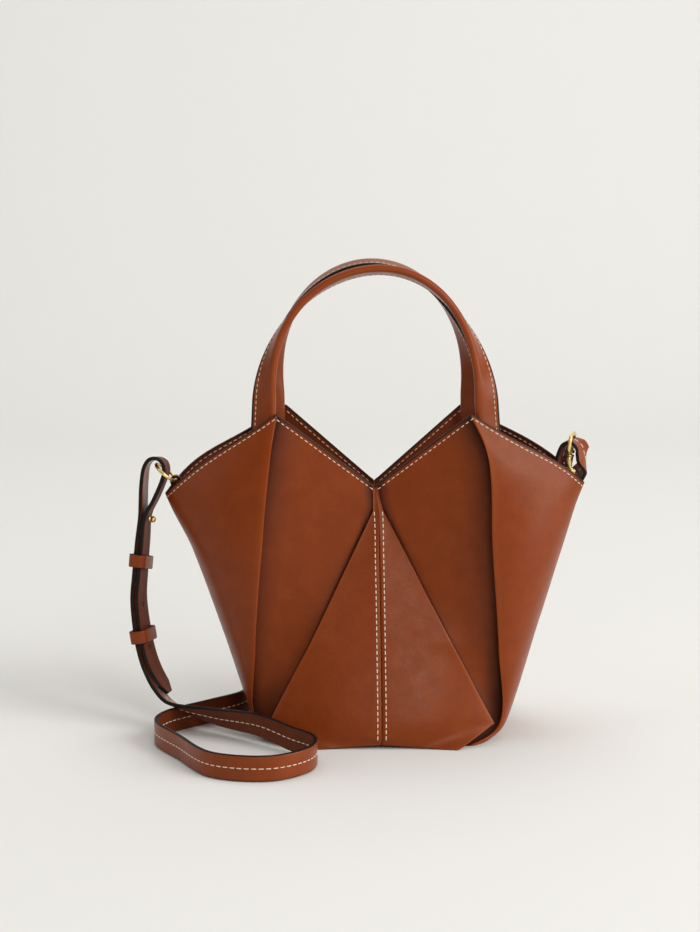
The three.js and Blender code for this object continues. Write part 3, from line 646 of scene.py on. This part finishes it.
def fold_lines(levels, back, hand):
    """Each fold line of a quarter, sampled at levels from 0 at the hem to 1 at the rim."""
    at = {}
    for fold, rows in FOLDS.items():
        rows = np.array(rows, float)
        if fold == "side" and hand < 0:
            rows[:, 0] += LEFT_SHIFT
        if fold in SWAY and not back:
            rows[:, 0] += hand * np.array(SWAY[fold])
        stations = levels * SPANS
        at[fold] = pick(rows, stations) if fold in STRAIGHT else spline(rows, stations)
    return at


def quarter(levels, back, hand):
    """Outer and inner face of a quarter of the wall: arrays of rows, columns, places."""
    at = fold_lines(levels, back, hand)
    slump = np.clip((levels - SLUMP_FROM) / (1 - SLUMP_FROM), 0, None)
    at["seam"][:, 0] += SEAM_HALF
    if back:
        at["ridge"][:, 0] -= BACK_INSET * slump
        at["valley"][:, 0] -= BACK_INSET * slump
    if hand < 0:
        at["side"][:, 2] -= DROOP_LEFT * slump
    seam, flap, tuck, valley, ridge, side = (at[fold] for fold in FOLDS)
    deep = np.array([0, WALL, 0])

    pleat = np.clip(flap[:, 0] - tuck[:, 0], 0, None)
    root = flap - deep
    root[:, 0] = np.minimum(flap[:, 0], tuck[:, 0]) - INNER_PLEAT["root"] * pleat
    seam_rise = np.interp(levels * SPANS, np.arange(SPANS + 1), SEAM_RISE)
    outer, inner = [], []
    for share in FLAP_COLUMNS:
        for row, start, end in ((outer, seam, flap), (inner, seam - deep, root)):
            place = mix(start, end, share)
            place[:, 1] = mix(start[:, 1], end[:, 1], share ** FLAP_BOW) + seam_rise * (1 - share)
            row.append(place)
    tuck_inner = tuck - deep
    tuck_inner[:, 0] -= INNER_PLEAT["tuck"] * pleat
    outer += [mix(flap, tuck, share) for share in TURN_COLUMNS]
    inner += [mix(root, tuck_inner, share) for share in TURN_COLUMNS]

    ridge_pleat = np.clip(valley[:, 0] - ridge[:, 0], 0, None)
    valley_inner = valley - deep
    valley_inner[:, 0] += INNER_PLEAT["valley"] * ridge_pleat
    for share in QUAD_COLUMNS:
        dip = QUAD_DIP * share * math.sin(math.pi * share) * np.clip(1 - slump, 0, 1)
        for row, start, end in ((outer, tuck, valley), (inner, tuck_inner, valley_inner)):
            place = mix(start, end, share)
            place[:, 1] -= dip
            row.append(place)

    power = np.interp(levels * SPANS, np.arange(SPANS + 1), WRAP)
    rise, skew = RIM_BOW[back, hand]
    reach = side[:, 0] - ridge[:, 0]

    def panel(share, offset):
        """The side panel at a share of the way from ridge to side, some way inside its outer face."""
        angle = share * math.pi / 2
        fx = np.sin(angle) ** (2 / power)
        fy = np.clip(np.cos(angle), 0, None) ** (2 / power)
        normal = unit(np.stack([fx ** (power - 1) / reach, fy ** (power - 1) / ridge[:, 1]], 1))
        x = ridge[:, 0] + reach * fx - offset * normal[:, 0]
        y = ridge[:, 1] * fy - offset * normal[:, 1]
        z = mix(ridge[:, 2], side[:, 2], fx) + rise * slump * np.sin(math.pi * fx ** skew)
        return np.stack([x, y, z], 1)

    root_out = valley[:, 0] + INNER_PLEAT["ridge"] * ridge_pleat
    root_reach = np.clip(root_out - ridge[:, 0], 0, None) / reach
    root_share = np.arcsin(root_reach ** (power / 2)) * 2 / math.pi
    root_share = np.maximum(root_share, ROOT_MIN * (1 - levels) ** 4)
    ridge_inner = panel(root_share, WALL)
    outer += [mix(valley, ridge, share) for share in RIDGE_COLUMNS]
    inner += [mix(valley_inner, ridge_inner, share) for share in RIDGE_COLUMNS]
    outer += [panel(np.full(len(levels), share), 0) for share in SIDE_COLUMNS]
    inner += [panel(mix(root_share, 1, share), WALL) for share in SIDE_COLUMNS]
    return np.stack(outer, 1), np.stack(inner, 1)


FOLD_COLUMNS = np.cumsum([len(FLAP_COLUMNS) - 1, len(TURN_COLUMNS), len(QUAD_COLUMNS),
                          len(RIDGE_COLUMNS)])
COLUMNS = FOLD_COLUMNS[-1] + 1 + len(SIDE_COLUMNS)
# Each fold from the triangle's edge to the ridge: rub, 1 paler from wear and painted highlight, 0
# painted shade deep in a tuck, then the columns that it colours on either side, then those that it
# rounds and how often they are averaged
FOLD_LOOKS = [(0.85, 2, 2, 1), (0, 3, 3, 2), (0, 6, 4, 3), (0.95, 3, 3, 2)]


def soften_folds(grid):
    grid = grid.copy()
    for column, (_, _, reach, rounds) in zip(FOLD_COLUMNS, FOLD_LOOKS):
        near = np.arange(column - reach, column + reach + 1)
        for _ in range(rounds):
            grid[:, near] = 0.25 * grid[:, near - 1] + 0.5 * grid[:, near] + 0.25 * grid[:, near + 1]
    return grid


def shell_wear_and_shading(outer, hand):
    """Wear and painted shading of the outer face: paler fold edges from rubbing and painted highlight,
    painted shade beside each triangle, in each valley and low in the recess.
    """
    across = hand * (outer[..., 0] - LEAN * outer[..., 2])
    low = np.clip(outer[..., 2].mean(1) / LOW_SHADE["below"], LOW_SHADE["least"], 1)[:, None]
    wear_and_shading = np.full((len(outer), COLUMNS), PLAIN)
    for column, (rub, reach, _, _) in zip(FOLD_COLUMNS, FOLD_LOOKS):
        wear_and_shading += (rub - PLAIN) * np.clip(1 - np.abs(np.arange(COLUMNS) - column) / (reach + 1), 0, 1)
    wear_and_shading = np.clip(wear_and_shading, 0, 1)
    quad = slice(FOLD_COLUMNS[1], FOLD_COLUMNS[2])
    halves = []
    for side in (across[:, :COLUMNS], across[:, ::-1][:, :COLUMNS]):
        beside = np.clip((side[:, quad] - side[:, FOLD_COLUMNS[0], None]) / TUCK_SHADE, 0, 1)
        within = np.clip((side[:, FOLD_COLUMNS[2], None] - side[:, quad]) / VALLEY_SHADE[hand], 0, 1)
        half = wear_and_shading.copy()
        # Painted shade: darker beside the triangle's edge, in the valley beside the ridge, and low in
        # the recess
        half[:, quad] = np.minimum(half[:, quad], PLAIN * np.minimum(beside, within) * low)
        halves.append(half)
    return np.concatenate([halves[0], halves[1][:, -2::-1]], 1)


def drape(points):
    """Low, broad unevenness of the hide, the same on every run."""
    waves = [sum(strength * noise.noise(Vector(point) * pace) for strength, pace in DRAPE_WAVES)
             for point in points.reshape(-1, 3)]
    return np.array(waves).reshape(points.shape[:2]) * SHELL_DRAPE


def wall_levels():
    spans = [np.linspace(i, i + 1, rows, endpoint=False) for i, rows in enumerate(ROWS_PER_SPAN)]
    levels = np.concatenate(spans) / SPANS
    return np.concatenate([levels[levels < RIM_FROM], np.linspace(RIM_FROM, 1, RIM_LEVELS)])


def space_rim(grid, levels):
    """Puts the uppermost rows of a face at set distances below the rim."""
    fixed = levels < RIM_FROM
    top = grid[~fixed][::-1]
    steps = np.linalg.norm(np.diff(top, axis=0), axis=2)
    reach = np.concatenate([np.zeros((1, grid.shape[1])), np.cumsum(steps, 0)])
    rows = np.empty((len(RIM_STEPS), *grid.shape[1:]))
    for column in range(grid.shape[1]):
        for axis in range(3):
            rows[:, column, axis] = np.interp(RIM_STEPS, reach[:, column], top[:, column, axis])
    return np.concatenate([grid[fixed], rows])


def grid_normals(grid):
    return unit(np.cross(np.gradient(grid, axis=1), np.gradient(grid, axis=0)))


def half_shell(hand):
    """Outer and inner face of one half, from the front seam round to the back seam, in place."""
    levels = wall_levels()
    faces = []
    for back, facing in ((False, -1), (True, 1)):
        outer, inner = quarter(levels, back, hand)
        outer[:, :len(SEAM_TURN), 1] -= SEAM_TURN
        placed = []
        for grid in (outer, inner):
            turned = space_rim(soften_folds(grid), levels) * np.array([hand, facing, 1])
            turned[..., 0] += LEAN * turned[..., 2]
            placed.append(turned)
        below_rim = len(placed[0]) - DRAPE_FADE["rim"] - np.arange(len(placed[0]))
        fade = np.clip(placed[0][..., 2] / DRAPE_FADE["hem"], 0, 1)
        fade *= np.clip(below_rim / DRAPE_FADE["over"], 0, 1)[:, None]
        fade[:, :DRAPE_FADE["seam"]] = 0
        fade[:, -1] = 0
        lift = grid_normals(placed[0]) * (-hand * facing * drape(placed[0]) * fade)[..., None]
        faces.append([grid + lift for grid in placed])
    return [np.concatenate([front, back[:, -2::-1]], 1) for front, back in zip(*faces)]


def make_shell(side, hand):
    """One half of the body: plain rows, painted rim and seam edges, lining inside."""
    outer, inner = half_shell(hand)
    up = np.array([0, 0, 1])
    rows_out, rows_in = [], []
    for rows, this, other in ((rows_out, outer, inner), (rows_in, inner, outer)):
        rows += [mix(this[0], other[0], share) + up * height for share, height in HEM_ROUND]
        rows += [*this[1:]]
        rows += [mix(this[-1], other[-1], share) + up * height for share, height in RIM_ROUND]
    rings = np.concatenate([np.stack(rows_out), np.stack(rows_in)[:, ::-1]], 1)
    size = rings.shape[1]
    faces = ring_faces(len(rings), size)
    columns = size // 2
    painted_rows = PAINTED_STEPS + len(RIM_ROUND)
    plain_rows = len(rings) - 1 - painted_rows
    hem = (len(rings) - 1) * size
    slots = np.ones(len(faces), int)
    slots[:plain_rows * size] = np.tile(np.repeat((0, 2), columns), plain_rows)
    slots[hem:hem + columns - 1] = 0
    face_wear_and_shading = shell_wear_and_shading(outer, hand)
    face_wear_and_shading = np.concatenate([face_wear_and_shading[:1], face_wear_and_shading, np.ones((len(RIM_ROUND), columns))])
    wear_and_shading = np.concatenate([face_wear_and_shading, np.full(face_wear_and_shading.shape, PLAIN)], 1)
    wear_and_shading[-painted_rows:] = 1
    make_object("shell_" + side, rings, faces, [HIDE, PAINT, LINING], "body_leather", "body_" + side,
                slots, wear_and_shading, sharp=LEATHER_SHARP)
    return outer, inner


shells = {hand: make_shell(side, hand) for side, hand in (("left", -1), ("right", 1))}

RIM_STITCH = {"pitch": 3.5, "length": 2.4, "radius": 0.27, "ends": 2}
RIM_STITCH_ROW = len(RIM_STEPS) - RIM_STEPS.index(2.6)
SEAM_STITCH = {"pitch": 3.6, "length": 2.75, "radius": 0.33, "ends": 1,
               "off": 2.45, "from": 3.6, "to": 139}
SEAM_COLUMNS = np.arange(14)  # columns beside the seam among which its stitches lie


def line_stitches(line, face, stitch):
    """Stitches along a line on a face."""
    marks = along_line(line, stitch["pitch"], stitch["ends"])
    return pick(line, marks), pick(unit(np.gradient(line, axis=0)), marks), unit(pick(face, marks))


def rim_stitches():
    rows = []
    for outer, inner in shells.values():
        for face, way in ((outer, 1), (inner, -1)):
            line = face[-RIM_STITCH_ROW]
            out = unit(outer[-RIM_STITCH_ROW] - inner[-RIM_STITCH_ROW]) * way
            rows.append(line_stitches(line, out, RIM_STITCH))
    stitch_rows("rim_stitches", "body_leather", rows, RIM_STITCH)


def seam_stitches():
    rows = []
    for outer, _ in shells.values():
        for end, step in ((0, 1), (outer.shape[1] - 1, -1)):
            columns = outer[:, end + step * SEAM_COLUMNS]
            normals = grid_normals(columns)
            normals *= np.where(normals[..., 1:2] * columns[..., 1:2] < 0, -1, 1)
            away = np.abs(columns[..., 0] - columns[:, :1, 0])
            stations = [np.interp([SEAM_STITCH["off"]], row, SEAM_COLUMNS) for row in away]
            line, face = (np.concatenate([pick(*pair) for pair in zip(grid, stations)])
                          for grid in (columns, normals))
            keep = (line[:, 2] > SEAM_STITCH["from"]) & (line[:, 2] < SEAM_STITCH["to"])
            rows.append(line_stitches(line[keep], face[keep], SEAM_STITCH))
    stitch_rows("seam_stitches", "body_leather", rows, SEAM_STITCH)


rim_stitches()
seam_stitches()

# Handles

HANDLE = {"foot": 174, "rim": 192, "spring": 205, "foot_depth": 16.4, "rim_depth": 14}
HANDLE_TILT = {"leg": 66, "spring": 62}
HANDLES = {
    "handle_front": {"side": -1, "middle": 1.1, "half_span": 64.1, "rise": 74.3, "splay": 1.5,
                     "skew": 3.5, "depth": 10.5, "tilt": -16.8, "untwist": 1.5},
    "handle_back": {"side": 1, "middle": -0.3, "half_span": 60.2, "rise": 76.2, "splay": 0,
                    "skew": 0.6, "depth": 14.7, "tilt": -5.6, "untwist": 1.9},
}
HANDLE_STEPS = 104
HANDLE_STITCH = {"pitch": 3.3, "length": 2.4, "radius": 0.24, "across": 4.6, "half": 1.6, "ends": 2}
# Half of the band's section from its folded edge to its raw edge
HANDLE_FACE = [[-7.5, 0.35], [-7.3, 1.1], [-6.7, 1.8], [-5.6, 2.2], [-4, 2.25], [-2, 2.08],
               [1, 1.82], [3.6, 1.62], [5, 1.54], [6.2, 1.56], [6.85, 1.56], [7.2, 1.48]]
HANDLE_RAW = [[7.42, 1.2], [7.5, 0.7], [7.3, 0.12], [7.3, -0.12], [7.5, -0.7], [7.42, -1.2]]
HANDLE_PAINT_FROM = 6.1
HANDLE_RUB = {"wear_and_shading": 0.7, "points": 3}  # of the folded edge


def handle_path(row):
    """The band's middle line, from foot to foot over the crown, and the width axis along it."""
    side, half_span, rise = row["side"], row["half_span"], row["rise"]
    leg = []
    heights, depths = (HANDLE["foot"], HANDLE["rim"]), (HANDLE["foot_depth"], HANDLE["rim_depth"])
    for z in np.linspace(HANDLE["foot"], HANDLE["spring"], 10)[:-1]:
        depth = np.interp(z, heights, depths)
        spread = row["splay"] * (1 + 3 * (HANDLE["spring"] - z) / rise)
        leg.append((half_span + spread, depth, z, np.array([1, 0, 0]), HANDLE_TILT["leg"]))
    places = [(-x, depth, z, -out, tilt) for x, depth, z, out, tilt in leg]
    for angle in np.linspace(math.pi, 0, HANDLE_STEPS + 1):
        height = math.sin(angle)
        spread = row["splay"] * np.sign(math.cos(angle)) * (1 - height) ** 3
        x = half_span * math.cos(angle) + spread + row["skew"] * height ** 4
        depth = mix(HANDLE["rim_depth"], row["depth"], height ** 2)
        out = unit([math.cos(angle) / half_span, 0, height / rise])
        tilt = mix(row["tilt"], HANDLE_TILT["spring"], max(0, 1 - height) ** row["untwist"])
        places.append((x, depth, HANDLE["spring"] + rise * height, out, tilt))
    places += leg[::-1]
    path = [(row["middle"] + x + LEAN * z, side * depth, z) for x, depth, z, _, _ in places]
    widths = [np.array([0, -side, 0]) * math.cos(math.radians(tilt)) + out * math.sin(math.radians(tilt))
              for _, _, _, out, tilt in places]
    return np.array(path), np.array(widths)


def make_handle(node, row):
    path, widths = handle_path(row)
    under = [[a, -n] for a, n in HANDLE_FACE[::-1]]
    section = np.array([*HANDLE_FACE, *HANDLE_RAW, *under])
    raw = section[:, 0] > HANDLE_PAINT_FROM
    painted = raw & np.roll(raw, -1)
    wear_and_shading = np.full(len(section), PLAIN)
    wear_and_shading[:HANDLE_RUB["points"]] = wear_and_shading[-HANDLE_RUB["points"]:] = HANDLE_RUB["wear_and_shading"]
    make_band("band_" + node, node, path, widths, section, painted, wear_and_shading)
    band_stitches("stitches_" + node, path, widths, HANDLE_STITCH)


for node, row in HANDLES.items():
    make_handle(node, row)

# Pieces at the corners of the mouth, and the base

RING_WIRE = 1
RING_STEPS = 72
WIRE_SIDES = 16
# Where a ring is held, its half axes, its tilt, and how its tab leans
RINGS = {
    "left": {"held": (-121.4, 0, 151.9), "half": (7.6, 9.6), "tilt": 40, "tab_slope": 0.4},
    "right": {"held": (113.1, 0, 146.6), "half": (5, 5), "tilt": 90, "tab_slope": -0.3},
}
TAB = {"width": 5, "thick": 1.6, "slack": 0.6, "legs": (9, 12)}
TAB_FACE = [[-2.2, 0.78], [-1, 0.83], [1, 0.83], [2.2, 0.78]]
TAB_EDGE = [[2.42, 0.6], [2.5, 0.25], [2.5, -0.25], [2.42, -0.6]]
BASE_CLEAR = (1.5, 3.4)
# The base from its underside to its top: share of the outline, height
BASE_PROFILE = [[0.02, 0.05], [0.5, 0.05], [0.96, 0.05], [0.985, 0.15], [0.997, 0.5], [1, 0.9],
                [0.997, 1.3], [0.985, 1.65], [0.96, 1.8], [0.5, 1.8], [0.02, 1.8]]
BASE_TOP_FROM = 7  # first row of the profile on the top


def make_ring(hand, row):
    turn = math.radians(row["tilt"])
    away = np.array([-math.cos(turn), 0, math.sin(turn)]) * row["half"][0]
    along_y = np.array([0, row["half"][1], 0])
    angle = np.arange(RING_STEPS)[:, None] / RING_STEPS * 2 * math.pi
    path = np.array(row["held"]) + away + away * np.cos(angle) + along_y * np.sin(angle)
    across = [math.sin(turn), 0, math.cos(turn)]
    rings = sweep(path, across, circle(RING_WIRE, WIRE_SIDES), closed=True)
    faces = ring_faces(RING_STEPS, WIRE_SIDES, closed_rows=True)
    make_object("round_ring_" + hand, rings, faces, [BRASS], "brass", "ring_" + hand)


def make_tab(hand, row):
    bow = row["half"][0] * (1 - math.sqrt(1 - (TAB["width"] / 2 / row["half"][1]) ** 2))
    bend = RING_WIRE + bow + TAB["slack"] + TAB["thick"] / 2
    down = unit([row["tab_slope"], 0, -1])
    out = unit([-1, 0, -row["tab_slope"]])
    middle = np.array(row["held"])
    path = [middle + out * bend + down * reach for reach in np.linspace(TAB["legs"][0], 1, 5)]
    path += [middle + (out * math.cos(angle) - down * math.sin(angle)) * bend
             for angle in np.linspace(0, math.pi, 21)]
    path += [middle - out * bend + down * reach for reach in np.linspace(1, TAB["legs"][1], 6)]
    section = band_section(TAB_FACE, TAB_EDGE)
    make_band("band_tab_" + hand, "tab_" + hand, path, (0, 1, 0), *section)


def make_base():
    outline = np.concatenate([shells[1][1][0], shells[-1][1][0][::-1]])[:, :2]
    outline *= [1 - BASE_CLEAR[0] / FOLDS["side"][0][0], 1 - BASE_CLEAR[1] / FOLDS["seam"][0][1]]
    size = len(outline)
    rings = [np.column_stack([outline * share, np.full(size, z)]) for share, z in BASE_PROFILE]
    faces = ring_faces(len(rings), size)
    slots = np.zeros(len(faces), int)
    slots[BASE_TOP_FROM * size:] = 1
    make_object("base_plate", rings, faces, [HIDE, LINING], "body_leather", "base_panel", slots,
                sharp=LEATHER_SHARP)


for hand, row in RINGS.items():
    make_ring(hand, row)
    make_tab(hand, row)
make_base()

# Hook

HOOK = {"x": 113.4, "half_thick": 1.5, "outer": 4.2, "inner": 2.2, "arc_top": 157, "arc_bottom": 154.9}
PIVOT = {"x": 116.6, "z": 156.2, "head": 1.3}
MOUTH = {"top": 157.8, "bottom": 153}
CHEEK = {"inner": 1.8, "outer": 2.6, "bottom": 155.1, "top": 159.3}
# Turned pieces: radius, height
STEM_PROFILE = [[0.1, 159.6], [1.2, 159.65], [1.9, 160], [2.35, 160.7], [2.35, 166.4], [2.2, 166.65],
                [2.5, 166.85], [2.7, 167.15], [2.7, 167.9], [2.5, 168.2], [1.6, 168.25], [1.5, 168.4],
                [1, 168.5], [1, 171.45], [1.5, 171.5], [1.85, 171.65], [1.9, 172], [1.6, 172.35],
                [0.1, 172.4]]
PIN_PROFILE = [[0.02, -2.85], [0.45, -2.8], [0.7, -2.6], [0.45, -2.58],
               [0.45, 2.58], [0.7, 2.6], [0.45, 2.8], [0.02, 2.85]]
BOSS_PROFILE = [[1.35, 169.15], [1.5, 169], [2.2, 169], [2.55, 169.25], [2.75, 170.1],
                [2.55, 170.95], [2.2, 171.2], [1.5, 171.2], [1.35, 171.05]]
EYE = {"half": 9.2, "height": 10.2, "corner": 3.4, "wire": 1.1, "bottom": 170.1, "open": 1.9}
CLAW_STEPS = 24
HOOK_LEAN = {"about": 155.95, "angle": 8}
EYE_TURN = -13
BEVEL = [[0, 1], [0.3, 0.3], [1, 0]]  # down and in, in bevels


def turned(points, first, second, about, angle):
    """Points turned from one axis towards another, about a place on the two."""
    turn = math.radians(angle)
    a, b = points[..., first] - about[0], points[..., second] - about[1]
    points = points.copy()
    points[..., first] = about[0] + a * math.cos(turn) - b * math.sin(turn)
    points[..., second] = about[1] + a * math.sin(turn) + b * math.cos(turn)
    return points


def hook_piece(name, points, faces, node):
    """A piece made on the upright hook, leaning about the middle of the claw."""
    points = turned(points, 2, 0, (HOOK_LEAN["about"], HOOK["x"]), HOOK_LEAN["angle"])
    make_object(name, points, faces, [BRASS], "brass", node, sharp=BRASS_SHARP)


def rounded_section(half_u, half_v, sides, power=3.2):
    round_off = circle(1, sides)
    return np.sign(round_off) * np.abs(round_off) ** (2 / power) * [half_u, half_v]


def block(low, high, bevel=0.25, sides=24):
    low, high = np.array(low), np.array(high)
    middle, half = (low + high) / 2, (high - low) / 2
    outline = rounded_section(half[0], half[1], sides, 7)
    edge = [(half[2] - share * bevel, inset * bevel) for share, inset in BEVEL]
    rings = [np.column_stack([outline * (1 - inset / half[:2]), np.full(sides, z)]) + middle
             for z, inset in [(-z, inset) for z, inset in edge] + edge[::-1]]
    return np.concatenate(rings), ring_faces(len(rings), sides)


def claw():
    """Open oval of rounded bar, from below the gate round to the gate's pivot."""
    radius = (HOOK["outer"] + HOOK["inner"]) / 2
    low = math.asin((MOUTH["bottom"] - HOOK["arc_bottom"]) / radius)
    high = math.asin((MOUTH["top"] - HOOK["arc_top"]) / radius)
    turns = [(HOOK["arc_bottom"], np.linspace(low, -math.pi, CLAW_STEPS)),
             (HOOK["arc_top"], np.linspace(math.pi, high, CLAW_STEPS))]
    path = [(HOOK["x"] + radius * math.cos(angle), 0, z + radius * math.sin(angle))
            for z, angles in turns for angle in angles]
    section = rounded_section(HOOK["half_thick"], (HOOK["outer"] - HOOK["inner"]) / 2, SMALL_SIDES)
    return sweep(path, (0, 1, 0), section), ring_faces(len(path), SMALL_SIDES)


def make_hook():
    near, far = PIVOT["x"] - PIVOT["head"], PIVOT["x"] + PIVOT["head"]
    skins = [claw(), block((near, -CHEEK["outer"], MOUTH["top"]), (far, CHEEK["outer"], CHEEK["top"]))]
    for low, high in ((-CHEEK["outer"], -CHEEK["inner"]), (CHEEK["inner"], CHEEK["outer"])):
        skins.append(block((near, low, CHEEK["bottom"]), (far, high, CHEEK["top"])))
    skins += [lathe((HOOK["x"], 0, 0), (0, 0, 1), STEM_PROFILE, TURNED_SIDES),
              lathe((PIVOT["x"], 0, PIVOT["z"]), (0, 1, 0), PIN_PROFILE, SMALL_SIDES)]
    hook_piece("hook_claw", *join_skins(skins), "hook_body")


def make_eye():
    """Wire loop, open where it enters the boss that turns on the hook's stem."""
    tall = EYE["height"] / 2
    loop = rounded_loop(EYE["half"], tall, EYE["corner"], 9, 8)
    start = np.argmin(np.hypot(loop[:, 0] - EYE["open"], loop[:, 1] + tall))
    loop = np.roll(loop, -start, 0)
    stop = np.argmin(np.hypot(loop[:, 0] + EYE["open"], loop[:, 1] + tall))
    loop = loop[:stop + 1]
    z = EYE["bottom"] + tall + loop[:, 1]
    path = np.column_stack([np.full(len(loop), HOOK["x"]), loop[:, 0], z])
    rings = sweep(path, (1, 0, 0), circle(EYE["wire"], WIRE_SIDES))
    boss, _ = lathe((HOOK["x"], 0, 0), (0, 0, 1), BOSS_PROFILE, TURNED_SIDES)
    boss_faces = ring_faces(len(BOSS_PROFILE), TURNED_SIDES, closed_rows=True)
    points, faces = join_skins([(rings, ring_faces(len(path), WIRE_SIDES)), (boss, boss_faces)])
    points = turned(points, 0, 1, (HOOK["x"], 0), EYE_TURN)
    hook_piece("hook_loop", points, faces, "hook_eye")


make_hook()
make_eye()
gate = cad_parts["hook_gate"]
gate.data.materials.clear()
gate.data.materials.append(BRASS)

# Stage and light

BACKDROP = {"near": -9000, "bend_from": 1200, "bend": 900, "top": 4000, "half_width": 9000}
BACKDROP_LOOK = {"Base Color": (0.8, 0.79, 0.765, 1), "Roughness": 0.9, "Specular IOR Level": 0.1}
BEND_STEPS = 12
WORLD = {"Color": (1, 0.99, 0.965, 1), "Strength": 0.275}
WHITE, WARM = (1, 1, 1), (1, 0.985, 0.96)
FLOOR_BEHIND, BAG_MIDDLE = (0, 200, 0), (0, 0, 120)
# Area lights: place, width and height in metres, watts, colour, target
LIGHTS = {
    "top": ((-100, 700, 2600), (2.8, 2.4), 29.5, WHITE, FLOOR_BEHIND),
    "key": ((2250, -1600, 1900), (1.7, 1.7), 51, WARM, BAG_MIDDLE),
    "front": ((560, -2450, 1150), (0.6, 0.6), 11, WARM, BAG_MIDDLE),
    "side": ((2300, -500, 600), (1.4, 1.2), 23, WHITE, BAG_MIDDLE),
    "fill": ((-2300, -500, 1000), (1.5, 1.4), 7, WHITE, BAG_MIDDLE),
}


def make_stage():
    material, tree, shader, _ = new_material("backdrop")
    feed(tree, shader, BACKDROP_LOOK)
    foot, bend = BACKDROP["bend_from"], BACKDROP["bend"]
    profile = [(BACKDROP["near"], 0), (foot, 0)]
    for step in range(1, BEND_STEPS + 1):
        angle = math.pi / 2 * step / BEND_STEPS
        profile.append((foot + bend * math.sin(angle), bend * (1 - math.cos(angle))))
    profile.append((foot + bend, BACKDROP["top"]))
    half = BACKDROP["half_width"]
    points = [(x * MM, y * MM, z * MM) for y, z in profile for x in (-half, half)]
    faces = [(2 * i, 2 * i + 1, 2 * i + 3, 2 * i + 2) for i in range(len(profile) - 1)]
    mesh = bpy.data.meshes.new("backdrop")
    mesh.from_pydata(points, [], faces)
    mesh.polygons.foreach_set("use_smooth", [True] * len(mesh.polygons))
    mesh.materials.append(material)
    add_object("backdrop", mesh)


def make_light():
    world = bpy.data.worlds.new("studio")
    world.use_nodes = True
    feed(world.node_tree, world.node_tree.nodes["Background"], WORLD)
    bpy.context.scene.world = world
    for name, (place, size, power, colour, target) in LIGHTS.items():
        data = bpy.data.lights.new(name, "AREA")
        data.shape = "RECTANGLE"
        data.size, data.size_y = size
        data.energy = power
        data.color = colour
        light = add_object(name, data)
        light.location = [value * MM for value in place]
        aim_at = Vector(target) * MM - light.location
        light.rotation_euler = aim_at.to_track_quat("-Z", "Y").to_euler()
    bpy.context.scene.view_settings.view_transform = "Standard"


make_stage()
make_light()
